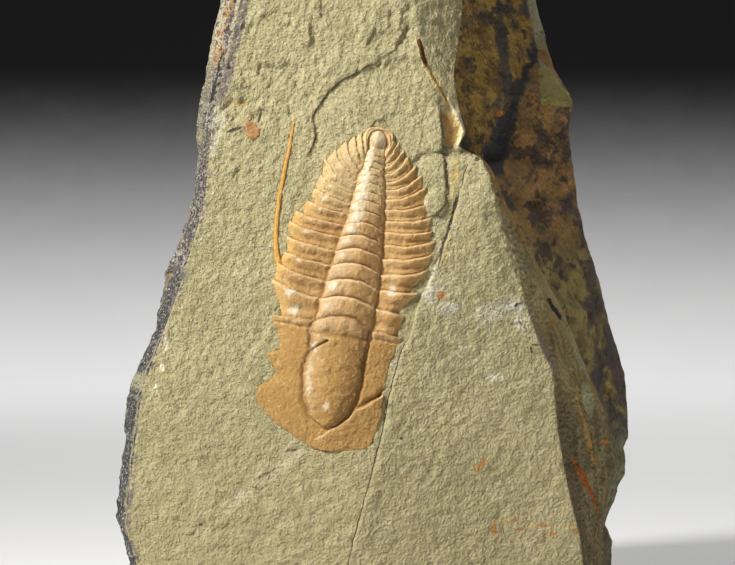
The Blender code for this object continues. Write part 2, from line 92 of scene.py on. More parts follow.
SCAR = [(-11.5, 23.8), (-18.8, 18.2), (-26.5, 12.5)]
# from here on, oval spots are (x, z, half width, half height, turn in degrees)
LOBE = [(9.7, 62.1, 1.9, 2.2, -20)]
FOSSIL_PLACE = [(-3.9, 47.5, 16.5, 30, -10)]
# lines and spots on the sides are placed by x and height too, as they are seen from the front
DARK_BAND = [(28.3, 92.9), (27.5, 91), (24.8, 83.4), (22, 76.6), (20.3, 71.6), (17.9, 67.3)]


def ease(value):
    """A smooth climb from 0 to 1 as the value goes from 0 to 1."""
    t = np.clip(value, 0, 1)
    return t * t * (3 - 2 * t)


def at_height(outline, z):
    """An edge of the block at these heights, straight between its measured points."""
    heights, places = zip(*outline)
    return np.interp(z, heights, places)


def rough(x, depth, z, size, seed, octaves=4):
    """Broken-stone relief, from -1 to 1 or so, with lumps of this many millimetres."""
    x, depth, z = np.broadcast_arrays(x, depth, z)
    values = [noise.fractal(Vector(place) / size + Vector((seed, 0, 0)), 0.9, 2.1, octaves)
              for place in zip(x.ravel(), depth.ravel(), z.ravel())]
    return np.array(values).reshape(x.shape)


def side_of(line, x, z):
    """How far points lie to the right of a line that runs downwards, and how far past its ends."""
    nearest = np.full(np.shape(x), 1e9)
    side = np.zeros_like(nearest)
    past = np.zeros_like(nearest)
    for k, ((x0, z0), (x1, z1)) in enumerate(zip(line, line[1:])):
        dx, dz = x1 - x0, z1 - z0
        stretch = math.hypot(dx, dz)
        t = ((x - x0) * dx + (z - z0) * dz) / stretch ** 2
        s = np.clip(t, 0, 1)
        away = np.hypot(x - x0 - s * dx, z - z0 - s * dz)
        over_end = stretch * np.maximum(0, np.maximum(-t * (k == 0), (t - 1) * (k == len(line) - 2)))
        nearer = away < nearest
        nearest = np.where(nearer, away, nearest)
        side = np.where(nearer, np.where((x - x0) * dz - (z - z0) * dx > 0, -1, 1), side)
        past = np.where(nearer, over_end, past)
    return nearest * side, past


def wavering(x, z):
    """A small wander, so that no line across the stone is ruled straight."""
    return 0.45 * rough(x, 0, z, 3, 41) + 0.2 * rough(x, 0, z, 0.9, 43)


def line_mark(line, x, z):
    """Signed distance from a line, which grows quickly beyond its ends so that the line stops there."""
    away, past = side_of(line, x, z)
    return away + 4 * np.sign(away) * past


def spots(places, x, z):
    """1 in the middle of the nearest of some oval spots, 0 at its edge, and below 0 outside it."""
    field = np.full(np.shape(x), -3.0)
    for x0, z0, wide, high, turn in places:
        c, s = math.cos(math.radians(turn)), math.sin(math.radians(turn))
        u = ((x - x0) * c + (z - z0) * s) / wide
        v = ((z - z0) * c - (x - x0) * s) / high
        field = np.maximum(field, 1 - np.hypot(u, v))
    return field


def bell(value, middle, width):
    """1 at the middle, falling off smoothly to nothing at about twice this width on both sides."""
    return np.exp(-(((value - middle) / width) ** 2))


def step_down(line, x, z, drop, width, reach):
    """A ledge: the face drops on the right of the line and comes back up this far from it."""
    aside, past = side_of(line, x, z)
    return drop * ease(aside / width + 0.5) * np.exp(-np.maximum(aside, 0) / reach) * ease(1 - past / 1.5)


def bed_depth(x, z):
    """The smooth lie of the bedding face, which the fossil follows too."""
    return 0.12 * rough(x, 0, z, 9, 3)


def front_depth(x, z):
    """Depth of the front face behind its highest plane, with its ledges, facets, crack and grain."""
    wavy = wavering(x, z)
    ledge_drop = np.interp(z, (72, 78, 82, 84, 85.3, 86.5), (0.3, 0.42, 0.42, 0.15, 0.25, 0.6))
    depth = np.zeros_like(wavy)
    for line, waves, drop, width, reach in (
            (LEDGE, 1, ledge_drop, 0.3, 2.4), (GROOVE, 0.4, 0.65, 0.25, 1.5), (TAIL_ARC, 1, 0.22, 0.25, 1),
            (RIGHT_ARC, 0, 0.5, 0.2, 1.6), (SLIT, 0, 0.45, 0.3, 1.2)):
        depth += step_down(line, x + waves * wavy, z, drop, width, reach)
    # right of the crack the face slopes away, and above the crack's end the top facet slopes more
    aside = side_of(CRACK, x, z)[0]
    below_apex = ease((CRACK[0][1] + 2 - z) / 2)
    right = np.maximum(0, aside)
    slope = np.interp(z, (30, 45, 56, 66), (0.19, 0.165, 0.06, -0.03))
    depth += below_apex * (right * slope - 0.3 * ease(right / 0.4))
    right = np.maximum(0, x - at_height(TOP_FACET, z))
    depth += (1 - below_apex) * right * math.tan(TOP_FACET_TURN)
    # a crumbled foot, the crack, the lobe that stands up beside it and the curled rim of the flake
    depth += 1.3 * ease(1 - z / 4) * (0.7 + 0.5 * rough(x, 0, 0, 8, 7))
    crack, past = side_of(CRACK, x + 0.4 * wavy, z)
    depth += 0.15 * bell(crack, 0, 0.22) * ease(1 - past / 0.5)
    depth -= 0.75 * ease(spots(LOBE, x, z) / 0.3)
    curl, past = side_of(FLAKE_RIM, x, z)
    depth -= (0.55 * bell(curl, -0.2, 0.35) - 0.4 * bell(curl, -1.3, 0.7)) * ease(1 - past)
    # thin layers of the bed that end in low treads, none of them under the fossil
    layers = 1.7 * rough(x, 0, z, 15, 19) + 0.3 * rough(x, 0, z, 2.6, 21)
    away = ease(-spots(FOSSIL_PLACE, x, z) / 0.25)
    tread = 0.12 + 0.22 * ease((z - 58) / 10)
    depth += tread * away * (np.floor(layers) + ease(9 * (layers - np.floor(layers))))
    # the bruised band, the chipped corner beside the bevel, and the grain
    scar, past = side_of(SCAR, x, z)
    crushed = bell(scar, 0, 1.1) * ease(1 - past / 4)
    depth += crushed * (0.05 + 0.35 * np.maximum(0, rough(x, 0, z, 0.9, 61)))
    to_bevel = at_height(FRONT_RIGHT, z) - x
    depth += 0.6 * ease(1 - to_bevel / 2.8) * ease((z - 46) / 4) * ease((63 - z) / 4)
    depth += bed_depth(x, z)
    depth += 0.13 * rough(x, 0, z, 2.6, 13)
    depth += 0.16 * rough(x, 0, z, 0.95, 23, 3)
    return depth


z = np.linspace(0, HEIGHT, HEIGHT_ROWS + 1)
across = np.linspace(0, 1, FRONT_COLUMNS)
front_x = at_height(FRONT_LEFT, z)[:, None] * (1 - across) + at_height(FRONT_RIGHT, z)[:, None] * across
front_z = np.repeat(z[:, None], FRONT_COLUMNS, axis=1)
front_y = front_depth(front_x, front_z)

corner_left = (front_x[:, 0], front_y[:, 0])
corner_right = (front_x[:, -1], front_y[:, -1])
bevel = (at_height(BEVEL_EDGE, z), corner_right[1] + at_height(BEVEL_DEPTH, z))
strip = (at_height(LEFT_SIDE, z), np.full_like(z, STRIP_DEPTH))
side_right = (at_height(RIGHT_BACK, z), np.full_like(z, BACK - RIGHT_CHAMFER[1]))
back_right = (side_right[0] - RIGHT_CHAMFER[0], np.full_like(z, BACK))
side_left = (strip[0] * LEFT_TAPER, np.full_like(z, BACK - LEFT_CHAMFER[1]))
back_left = (side_left[0] + LEFT_CHAMFER[0], np.full_like(z, BACK))
# each side of the block between two edges, with its columns of points and how rough its break is
STRETCHES = [
    ("bevel", corner_right, bevel, BEVEL_COLUMNS, 0.5),
    ("joint", bevel, side_right, JOINT_COLUMNS, 1),
    ("back", side_right, back_right, CHAMFER_COLUMNS, 1),
    ("back", back_right, back_left, BACK_COLUMNS, 1),
    ("back", back_left, side_left, CHAMFER_COLUMNS, 1),
    ("back", side_left, strip, LEFT_COLUMNS, 1),
    ("strip", strip, corner_left, STRIP_COLUMNS, 0.6),
]
xs, ys, weights = [front_x], [front_y], [np.zeros_like(front_x)]
zones = ["front"] * (FRONT_COLUMNS - 1)
crossing = [np.zeros_like(front_x)]
for zone, (x0, y0), (x1, y1), columns, roughness in STRETCHES:
    t = np.arange(1, columns + 1) / columns
    xs.append(x0[:, None] + (x1 - x0)[:, None] * t)
    ys.append(y0[:, None] + (y1 - y0)[:, None] * t)
    free = roughness * (EDGE_ROUGHNESS + (1 - EDGE_ROUGHNESS) * np.sin(math.pi * t))
    weights.append(np.repeat(free[None, :], len(z), axis=0))
    crossing.append(np.repeat(t[None, :], len(z), axis=0))
    zones += [zone] * columns
ring_x, ring_y, weight, crossing = (np.hstack(part)[:, :-1] for part in (xs, ys, weights, crossing))
ring_z = np.repeat(z[:, None], ring_x.shape[1], axis=1)
columns_round = ring_x.shape[1]

toward_x = np.roll(ring_y, -1, 1) - np.roll(ring_y, 1, 1)
toward_y = np.roll(ring_x, 1, 1) - np.roll(ring_x, -1, 1)
length = np.hypot(toward_x, toward_y)
broken = slice(FRONT_COLUMNS, None)
place = (ring_x[:, broken], ring_y[:, broken], ring_z[:, broken])
push = ROUGHNESS * rough(*place, 11, 11) + WANDER * rough(*place, 38, 17)
push += 0.45 * rough(*place, 3.4, 51) - 0.35 * np.abs(rough(*place, 6, 57))
push *= weight[:, broken]
push += 0.1 * rough(*place, 1.1, 53, 3)
zone_of = np.array(zones)[broken]
push += np.where(zone_of == "strip", 0.4, 0) * rough(*place, 2.2, 73)
lamina = np.where(zone_of == "bevel", 0.32, np.where(zone_of == "back", 0.22, 0))
bed = place[1] / 1.3 + 0.5 * rough(*place, 7, 71) + 0.15 * place[2] / 7
rounded = ease((place[2] - 44) / 8) * ease((72 - place[2]) / 5) * np.sin(math.pi * crossing[:, broken] ** 0.7)
push += np.where(zone_of == "bevel", 1.3, 0) * rounded
push += lamina * (ease(2.2 * (bed - np.floor(bed))) - 0.6) * np.sin(math.pi * crossing[:, broken]) ** 0.5
band_away, band_past = side_of(DARK_BAND, place[0], place[2])
push -= np.where(zone_of == "joint", 0.9, 0) * bell(band_away, 0.3, 1.7) * ease(1 - band_past / 3)
ring_x[:, broken] += push * toward_x[:, broken] / length[:, broken]
ring_y[:, broken] += push * toward_y[:, broken] / length[:, broken]


def top_height(x, depth):
    """The broken top above its mean height: three facets that meet in blunt ridges."""
    facets = (-0.05 * (x + 3) - 0.12 * (depth - 20), 0.32 * (x + 16) + 0.1 * depth,
              4.5 - 0.45 * (depth - 18))
    return np.minimum.reduce(facets) + 0.8 * rough(x, depth, 0, 14, 29) \
        + 0.25 * rough(x, depth, 0, 3, 31)


share = ease((ring_z - TOP_BEGINS) / (HEIGHT - TOP_BEGINS))
ring_z = ring_z + share * top_height(ring_x, ring_y)
rim_x, rim_y = ring_x[-1], ring_y[-1]
centre = (rim_x.mean(), rim_y.mean())
keep = 1 - np.arange(1, TOP_RINGS)[:, None] / TOP_RINGS
top_x, top_y = centre[0] + (rim_x - centre[0]) * keep, centre[1] + (rim_y - centre[1]) * keep
top_z = HEIGHT + top_height(top_x, top_y)


def to_world(x, depth, z):
    return np.stack(((x - MIDDLE[0]) * MM, (depth - MIDDLE[1]) * MM, z * MM), axis=-1)


def between_rows(rows, count, closed=True):
    """The four-sided faces between rows of points, each of this many points."""
    faces = []
    for start in range(0, (rows - 1) * count, count):
        for c in range(count if closed else count - 1):
            beside = start + (c + 1) % count
            faces.append((start + c, beside, beside + count, start + c + count))
    return faces


def make_piece(name, points, faces):
    mesh = bpy.data.meshes.new(name)
    mesh.from_pydata(points.tolist(), [], faces)
    mesh.update()
    mesh.polygons.foreach_set("use_smooth", [True] * len(mesh.polygons))
    piece = bpy.data.objects.new(name, mesh)
    bpy.context.scene.collection.objects.link(piece)
    return piece


all_x, all_y, all_z = (np.vstack(pair) for pair in ((ring_x, top_x), (ring_y, top_y), (ring_z, top_z)))
rows_up = len(all_x)
peak = np.array([[centre[0]], [centre[1]], [HEIGHT + float(top_height(*centre))]])
block_points = np.vstack((to_world(all_x, all_y, all_z).reshape(-1, 3), to_world(*peak)))
last = (rows_up - 1) * columns_round
block_faces = [list(range(columns_round))[::-1]] + between_rows(rows_up, columns_round)
block_faces += [(last + i, last + (i + 1) % columns_round, last + columns_round)
                for i in range(columns_round)]
face_zones = ["back"]
for row in range(rows_up - 1):
    for zone in zones:
        above_bevel = zone == "bevel" and z[min(row, HEIGHT_ROWS)] > BEVEL_TOP
        face_zones.append("back" if row >= HEIGHT_ROWS else "joint" if above_bevel else zone)
face_zones += ["back"] * columns_round
block = make_piece("siltstone_block", block_points, block_faces)


def mark(piece, name, values):
    """Keeps one number for each point of a piece, for its material to read."""
    field = piece.data.attributes.new(name, "FLOAT", "POINT")
    full = np.zeros(len(piece.data.vertices), dtype=np.float32)
    full[:np.size(values)] = np.ravel(values)
    field.data.foreach_set("value", full)


STAINS = [(10.4, 48, 0.9, 1, 0), (5.5, 27.5, 0.5, 0.35, 0), (5.2, 19.7, 0.5, 0.6, 0),
          (16.7, 21.5, 0.7, 2, -35), (-11.9, 19.1, 0.8, 0.35, 20), (-20.8, 77.3, 1.5, 0.3, 8),
          (-22.4, 77.6, 0.6, 0.25, 20), (22.3, 13.2, 1, 0.6, 20), (24.3, 13.8, 1, 0.6, -20),
          (18.9, 11.6, 0.7, 1.6, 0), (22.9, 11.4, 2, 0.8, 8), (26.6, 11.9, 1, 0.5, 0),
          (31.8, 11, 1.4, 0.8, 0), (27.9, 10.6, 1.2, 0.7, 0)]
OCHRES = [(11.35, 54.6, 0.45, 3.2, -12), (12.7, 65.6, 0.9, 4.6, -4), (12.3, 60.2, 0.5, 2, -10),
          (-20.8, 77.2, 2.2, 0.8, 8), (21, 12.6, 1.3, 0.7, 0), (25.3, 12, 1.4, 0.7, 0),
          (31, 11.5, 1.4, 0.7, 0)]
CHALK = [(8.9, 48.4, 2.2, 2.6, -35), (17.3, 44.9, 2.2, 2.2, 0), (23.1, 43.9, 1.8, 2.2, 0),
         (20.6, 45.8, 4.6, 2.2, 10), (19.3, 35.5, 2.3, 1.8, 0), (-31.8, 40.5, 0.3, 1.4, 0),
         (-32.4, 36.6, 0.4, 0.6, 0), (-33.5, 33.2, 0.3, 0.6, 0), (3.2, 37.3, 0.9, 0.7, 0),
         (14, 40, 0.9, 0.8, 0), (9.6, 51.5, 1.1, 2, -20), (7.6, 62, 1, 0.9, 0),
         (12, 46, 3, 1.6, 20)]
CREVICES = [[(-17.7, 19.4), (-16.9, 20.2), (-15.8, 20.5), (-14.8, 21.3)],
            [(-18.5, 18.6), (-17.3, 17.7), (-16.9, 18.5)], [(-13.8, 23.6), (-12.7, 24), (-11.5, 24)],
            [(-26.8, 12.7), (-26.2, 12.3), (-25.7, 13.2)], [(22, 46.1), (23.3, 46.8), (24.3, 46.2)],
            [(21.4, 43.2), (22.7, 43.8), (23.9, 42.5)], [(24.5, 40.1), (25.9, 40)]]
PIT_SHADES = [(4.4, 25.8, 0.3, 0.3, 0), (14.95, 66.9, 0.16, 0.7, -25),
        (16.2, 68.9, 0.35, 0.6, -40), (-21.2, 73.3, 1.6, 0.26, 18), (-17.3, 75.4, 0.22, 1.1, -15),
        (22.2, 46.3, 0.22, 0.5, -30), (24.6, 39.4, 0.2, 0.8, 10), (24.7, 37, 0.14, 1.5, 0),
        (10.6, 54.2, 0.16, 2.6, -14), (12.6, 61.6, 0.15, 2.2, -14), (-25.4, 60.8, 0.15, 0.15, 0)]
FLAKES = [(-31.8, 40.6, 0.4, 1.7, 8), (-32.4, 36.7, 0.4, 0.8, 0), (-33.3, 33.4, 0.35, 0.9, 0)]
wavy = wavering(front_x, front_z)
# lines of the small steps, along which painted shadow is laid
small_steps = [line_mark(line, front_x + waves * wavy, front_z) for line, waves in
               ((GROOVE, 0.4), (TAIL_ARC, 1), (RIGHT_ARC, 0), (LOBE_SHADOW, 0))]
front_spots = {"flake": FLAKES, "stain": STAINS, "ochre": OCHRES, "chalk": CHALK, "pit_shade": PIT_SHADES}
front_mark = {name: spots(places, front_x, front_z) for name, places in front_spots.items()} | {
    "step": np.prod(np.clip(small_steps, -1, 1), axis=0),
    "crack": line_mark(CRACK, front_x, front_z),
    "slit": line_mark(SLIT, front_x, front_z),
    "ledge": line_mark(LEDGE, front_x + 0.45 * rough(front_x, 0, front_z, 3, 41), front_z),
    "rim": line_mark(FLAKE_RIM, front_x, front_z),
    "crevice_shade": np.min([np.abs(line_mark(line, front_x + 0.5 * wavy, front_z)) for line in CREVICES], axis=0),
    "scar": 1 - np.abs(side_of(SCAR, front_x, front_z)[0]) / 2.6,
    "edge": np.minimum(front_x - at_height(FRONT_LEFT, front_z), 9),
}
RED_VEIN = [(31, 22.7), (32.8, 19.6), (34.4, 16.8), (35.9, 13.2)]
RED_VEIN_WIDTH = [(13.2, 0.4), (15.5, 1.2), (19.3, 2.2), (22.7, 0.4)]
PALE_VEIN = [(31.9, 32.5), (32.9, 29), (34, 25.6), (35.1, 21)]
PALE_VEIN_WIDTH = [(21, 0.7), (24.5, 1.8), (29, 1), (32.5, 0.5)]
SIDE_SLIT = [(27.6, 47.3), (28.5, 45.7), (29.8, 44.1)]
PALE_LENS = [(34.1, 31.4, 1.3, 2.9, 12), (33, 38.6, 1.1, 4.8, 22)]
SIDE_STAINS = [(37.3, 24.4, 0.8, 0.5, 0), (28.2, 43.6, 0.4, 0.8, 0), (20.4, 76.8, 1, 0.55, 20)]
DARK_BRANCH = [(20, 99), (20.6, 89.5), (21.3, 84), (22, 79.4), (22.2, 77.1)]
STRIP_SPLIT = [(-22.85, 85.5), (-23.6, 83.7), (-24.1, 81.7), (-24.5, 79.4), (-24.9, 77.6)]
on_side = slice(FRONT_COLUMNS, FRONT_COLUMNS + BEVEL_COLUMNS + JOINT_COLUMNS)
on_strip = slice(columns_round - STRIP_COLUMNS + 1, columns_round)
on_left = slice(on_strip.start - LEFT_COLUMNS, on_strip.start)
side_x, side_z = ring_x[:, on_side], ring_z[:, on_side]
side_mark = {
    "band": side_of(DARK_BAND, side_x, side_z)[0],
    "vein": line_mark(RED_VEIN, side_x, side_z) / at_height(RED_VEIN_WIDTH, side_z),
    "pale_vein": line_mark(PALE_VEIN, side_x, side_z) / at_height(PALE_VEIN_WIDTH, side_z),
    "slit": line_mark(SIDE_SLIT, side_x, side_z),
    "branch": np.abs(line_mark(DARK_BRANCH, side_x, side_z)),
    "olive": np.maximum(
        np.minimum.reduce((side_x - 27.3, side_z - 78.6, 87 - side_z - 1.1 * (side_x - 27.5))) / 2,
        np.minimum(side_x - at_height(RIGHT_BACK, side_z) + 2.4, side_z - 88) / 2),
    "lens": spots(PALE_LENS, side_x, side_z),
    "stain": spots(SIDE_STAINS, side_x, side_z),
    # 0 at the front edge, 1 at the bevel's far edge, 2 at the back
    "over": crossing[:, on_side] + (np.arange(BEVEL_COLUMNS + JOINT_COLUMNS) >= BEVEL_COLUMNS),
}
strip_mark = {
    "split_shade": line_mark(STRIP_SPLIT, ring_x[:, on_strip], ring_z[:, on_strip]),
    "inward": crossing[:, on_strip],
}
MARKED = ((front_mark, slice(0, FRONT_COLUMNS)), (side_mark, on_side), (strip_mark, on_strip),
          ({"behind": crossing[:, on_left]}, on_left))
# where a mark doesn't apply it is below 0 for spots and shares, and far away for lines
SPOT_MARKS = {"flake", "stain", "ochre", "chalk", "pit_shade", "scar", "olive", "lens", "over", "inward", "behind"}
for name in dict.fromkeys(name for marks, _ in MARKED for name in marks):
    everywhere = np.full((rows_up, columns_round), -3.0 if name in SPOT_MARKS else 9.0)
    for marks, columns in MARKED:
        if name in marks:
            everywhere[:HEIGHT_ROWS + 1, columns] = marks[name]
    mark(block, name, everywhere)


class Field:
    """A value or a colour over the surface: what one node of a finish gives out."""

    def __init__(self, socket):
        self.socket = socket

    def __add__(self, other):
        return both("ADD", self, other)

    def __sub__(self, other):
        return both("SUBTRACT", self, other)

    def __mul__(self, other):
        return both("MULTIPLY", self, other)

    def __abs__(self):
        return both("ABSOLUTE", self, 0)

    __rmul__ = __mul__


def new_finish(name):
    """Begins a finish. The helpers below add their nodes to the one that was begun last."""
    global tree
    material = bpy.data.materials.new(name)
    material.use_nodes = True
    tree = material.node_tree
    return material


def add(kind, inputs, output=0, **settings):
    """One output of a new shader node, whose inputs are given as values or as other nodes' outputs."""
    node = tree.nodes.new("ShaderNode" + kind)
    for name, value in settings.items():
        setattr(node, name, value)
    for key, value in inputs.items():
        if isinstance(value, Field):
            tree.links.new(value.socket, node.inputs[key])
        else:
            node.inputs[key].default_value = value
    return Field(node.outputs[output])


def own_place():
    """The point's own place in its piece, so that a pattern is cut through the whole of it."""
    return add("TexCoord", {}, "Object")


def lumps(size, seed, detail=4, stretch=None, harsh=0.6):
    """Noise from 0 to 1 with lumps of this many millimetres."""
    place = own_place()
    if stretch:
        place = add("Mapping", {"Vector": place, "Scale": stretch}, "Vector")
    return add("TexNoise", {"Vector": place, "W": seed, "Scale": 1 / (size * MM), "Detail": detail,
                            "Roughness": harsh}, "Fac", noise_dimensions="4D")


def pores(size, seed):
    """Distance from the nearest of many scattered points, in lumps of this many millimetres."""
    return add("TexVoronoi", {"Vector": own_place(), "W": seed, "Scale": 1 / (size * MM)}, "Distance",
               voronoi_dimensions="4D")


def read(name):
    """One of the numbers kept for each point of the piece."""
    return add("Attribute", {}, "Fac", attribute_name=name)


def rise(value, low, high, top=1, bottom=0):
    """A smooth climb from the bottom value to the top value as the input goes from low to high."""
    return add("MapRange", {"Value": value, "From Min": low, "From Max": high, "To Min": bottom,
                            "To Max": top}, "Result", interpolation_type="SMOOTHSTEP")


def patches(size, seed, low, high, top=1, **kind):
    """Soft-edged patches of this many millimetres; the closer low and high are, the sharper."""
    return rise(lumps(size, seed, **kind), low, high, top)


def uneven(size, seed, swing, **kind):
    """Noise around 0 that swings this far in all."""
    return swing * (lumps(size, seed, **kind) - 0.5)


def both(operation, a, b):
    return add("Math", {0: a, 1: b}, operation=operation)


def larger(a, b):
    return both("MAXIMUM", a, b)


def layer(factor, under, over_it):
    """Lays one colour over another where the factor is 1."""
    colours = [(*c, 1) if isinstance(c, tuple) else c for c in (under, over_it)]
    return add("Mix", {0: factor, 6: colours[0], 7: colours[1]}, 2, data_type="RGBA")


def coat(where, tint):
    """Lays one more colour over the finish begun last."""
    global colour
    colour = layer(where, colour, tint)


def high_up():
    """Height above the foot in millimetres."""
    return (1 / MM) * add("SeparateXYZ", {0: own_place()}, 2)


def line_of(name, wide, soft, waver):
    """1 on a marked line of this half-width, with ragged edges."""
    return rise(abs(read(name) + waver), wide + soft, wide)


def surface(roughness, shine=0.5, relief=None, deep=0):
    """Ends a finish: its gloss, and its relief finer than the mesh, this many millimetres deep."""
    shader = tree.nodes["Principled BSDF"]
    tree.links.new(colour.socket, shader.inputs["Base Color"])
    shader.inputs["Roughness"].default_value = roughness
    shader.inputs["Specular IOR Level"].default_value = shine
    if relief:
        bumps = add("Bump", {"Height": relief, "Distance": deep * MM, "Strength": 1}, "Normal")
        tree.links.new(bumps.socket, shader.inputs["Normal"])


KHAKI = (0.43, 0.37, 0.2)
PALE_KHAKI = (0.54, 0.48, 0.29)
OLIVE_KHAKI = (0.35, 0.31, 0.16)
DARK_GRAIN_AND_HOLLOW_SHADE = (0.2, 0.17, 0.1)
LIGHT_GRAIN_AND_TOP_HIGHLIGHT = (0.7, 0.64, 0.46)
CHALK_WHITE = (0.66, 0.63, 0.53)
RUST = (0.42, 0.2, 0.06)
OCHRE = (0.52, 0.37, 0.12)
PURPLE_GREY = (0.16, 0.135, 0.13)
RUST_SPOT = (0.55, 0.2, 0.03)
BLACK_STAIN = (0.06, 0.045, 0.035)
CRUST_DARK = (0.045, 0.037, 0.034)
CRUST_PALE = (0.33, 0.3, 0.245)
IRON_BROWN = (0.42, 0.23, 0.07)
BRUISED = (0.58, 0.52, 0.34)


def siltstone():
    """The bare stone's colour and its grain relief: speckled grains, darker with painted shade in the hollows
    of the relief and lighter with painted highlight on its tops.
    """
    colour = layer(patches(14, 1, 0.38, 0.66), OLIVE_KHAKI, KHAKI)
    colour = layer(patches(3, 2, 0.42, 0.75, 0.6), colour, PALE_KHAKI)
    # painted shade and highlight: the grains are darkest in the hollows of the grain relief and lightest on
    # its tops
    fine = lumps(0.36, 3, 1.2, harsh=0.7)
    colour = layer(rise(fine, 0.44, 0.28, 0.75), colour, DARK_GRAIN_AND_HOLLOW_SHADE)
    colour = layer(rise(fine, 0.56, 0.72, 0.6), colour, LIGHT_GRAIN_AND_TOP_HIGHLIGHT)
    return colour, fine + 1.1 * lumps(1.1, 6, 1)


# the front: chalky, ochre and rusty patches, the bruised band, painted shade towards its foot, and painted
# shade along its crack, ledge, steps and crevices and in its pits
front_finish = new_finish("siltstone_face")
colour, grain = siltstone()
ragged = lumps(1.2, 7) - 0.5
waver = uneven(1.6, 9, 0.7)
height = high_up()
# painted shade: the face darkens towards its foot, as the light falls off downwards
coat(rise(height, 58, 16, 0.4), (0.34, 0.29, 0.155))
coat(0.55 * (rise(read("scar") + 1.5 * ragged, 0.2, 0.9) * patches(1.5, 8, 0.4, 0.6)), BRUISED)
coat(rise(read("chalk"), 0, 0.7, 0.72) * patches(1.1, 17, 0.42, 0.58, detail=5, harsh=0.7), CHALK_WHITE)
coat(rise(read("ochre"), 0, 0.6, 0.85) * patches(0.9, 18, 0.44, 0.56, detail=5, harsh=0.7), OCHRE)
coat(rise(read("stain") + 3 * ragged, 0.2, 0.8, 0.85), RUST)
edge = read("edge")
reach = edge - 0.16 * (height - 73) + 2 * ragged
wedge = rise(height, 68, 70) * rise(height, 77.5, 76, 0.85) * rise(reach, 1.9, 1.4, 0.9)
coat(wedge, (0.54, 0.5, 0.35))
worn_edge = rise(height, 77, 78.5) * rise(edge + ragged, 1.9, 1.2)
coat(worn_edge * patches(0.8, 19, 0.4, 0.52, 0.85), PURPLE_GREY)
rim = read("rim") + waver
inner = rise(rim, -3.2, -2) * rise(rim, 0.3, -0.1) * rise(height, 70, 71.5, 0.9)
inner_colour = layer(rise(rim, -2.1, -1.3), (0.5, 0.25, 0.06), (0.72, 0.52, 0.22))
inner_colour = layer(rise(height, 75.4, 76.4, 0.9), inner_colour, (0.72, 0.66, 0.45))
coat(inner, inner_colour)
coat(line_of("rim", 0.35, 0.3, waver), (0.68, 0.6, 0.38))
coat(0.9 * line_of("slit", 0.38, 0.3, waver), (0.64, 0.5, 0.22))
low_slit = line_of("slit", 0.07, 0.1, waver) * patches(1.3, 20, 0.42, 0.52, 0.8)
coat(low_slit, (0.2, 0.09, 0.03))
red_part = line_of("slit", 0.3, 0.2, waver) * rise(height, 82.2, 83.6)
coat(0.92 * red_part, (0.13, 0.045, 0.02))
# painted shade in the crack: a thin dark line where it shows, darker where it stands open
shown = larger(rise(height, 43, 39), rise(height, 49, 55, 0.8))
crack = patches(3, 10, 0.34, 0.46) * larger(shown, 0.3)
coat(line_of("crack", 0.05, 0.08, waver) * crack, (0.05, 0.042, 0.03))
open_crack_shade = line_of("crack", 0.14, 0.12, waver) * (rise(height, 64, 62.5) * rise(height, 52.5, 54.5, 0.95))
coat(open_crack_shade * patches(1.6, 16, 0.36, 0.46), (0.04, 0.034, 0.028))
# painted shadow: a thin dark line along the foot of the ledge, broken in places
unbroken = larger(patches(1.8, 13, 0.44, 0.58, 0.8), rise(height, 84.2, 82.6, 0.8))
coat(line_of("ledge", 0.08, 0.12, 0) * unbroken, (0.08, 0.068, 0.04))
# painted shade in the fine crevices
coat(rise(read("crevice_shade"), 0.24, 0.1, 0.75) * patches(0.8, 25, 0.38, 0.48, 0.95), (0.045, 0.038, 0.028))
# painted shadow: thin dark lines along the groove, the arcs and the lobe
coat(line_of("step", 0.1, 0.14, 0) * patches(1.5, 14, 0.36, 0.5, 0.7), (0.1, 0.085, 0.05))
coat(rise(read("flake") + ragged, 0, 0.25, 0.85), (0.74, 0.67, 0.47))
# painted shade in small pits, holes and cracks
coat(rise(read("pit_shade") + 0.9 * ragged, -0.15, 0.2, 0.9), (0.06, 0.05, 0.03))
coat(rise(edge, 1.1, 0) * patches(1.1, 11, 0.45, 0.6), PURPLE_GREY)
surface(0.92, 0.25, grain, 0.35)

# the left strip: a dark speckled crust, flaking to pale and brown stone higher up
strip_finish = new_finish("weathered_strip")
height = high_up()
inward = read("inward") + uneven(1.4, 20, 1.2)
colour = layer(patches(0.7, 21, 0.44, 0.56), CRUST_DARK, CRUST_PALE)
coat(patches(1.8, 22, 0.48, 0.58, 0.75), (0.085, 0.07, 0.065))
coat(patches(0.5, 23, 0.57, 0.65, 0.8, detail=2), (0.57, 0.53, 0.41))
low_crust = layer(patches(0.6, 21, 0.5, 0.64), (0.032, 0.031, 0.033), (0.22, 0.21, 0.19))
low_crust = layer(patches(0.5, 23, 0.57, 0.64, 0.85, detail=2), low_crust, (0.52, 0.5, 0.42))
coat(rise(height, 54, 44, 0.85), low_crust)
near_face = rise(read("inward") + uneven(1.6, 77, 0.5), 0.74, 0.84, 0.9) * rise(height, 50, 42)
coat(near_face, (0.36, 0.31, 0.17))
outer = rise(inward, 0.3, 0.15, 0.85) * patches(3.6, 27, 0.52, 0.58) * rise(height, 44, 52)
coat(outer, (0.36, 0.26, 0.12))
pale_gap = rise(height, 32.8, 33.8) * rise(height, 36.2, 35.2)
upper = rise(height, 67, 74) * rise(height, 86, 83, 0.5) * rise(inward, 0.75, 0.5)
pale_gap = larger(pale_gap, upper)
coat(pale_gap * patches(1.4, 28, 0.36, 0.5), (0.36, 0.325, 0.19))
high_part = rise(height, 82, 86)
flaky = high_part * rise(inward, 0.85, 0.65)
coat(flaky, (0.5, 0.44, 0.29))
coat(flaky * rise(inward, 0.2, 0.35) * patches(2, 24, 0.47, 0.53), RUST)
coat(high_part * patches(0.9, 29, 0.55, 0.6, 0.9), (0.09, 0.07, 0.05))
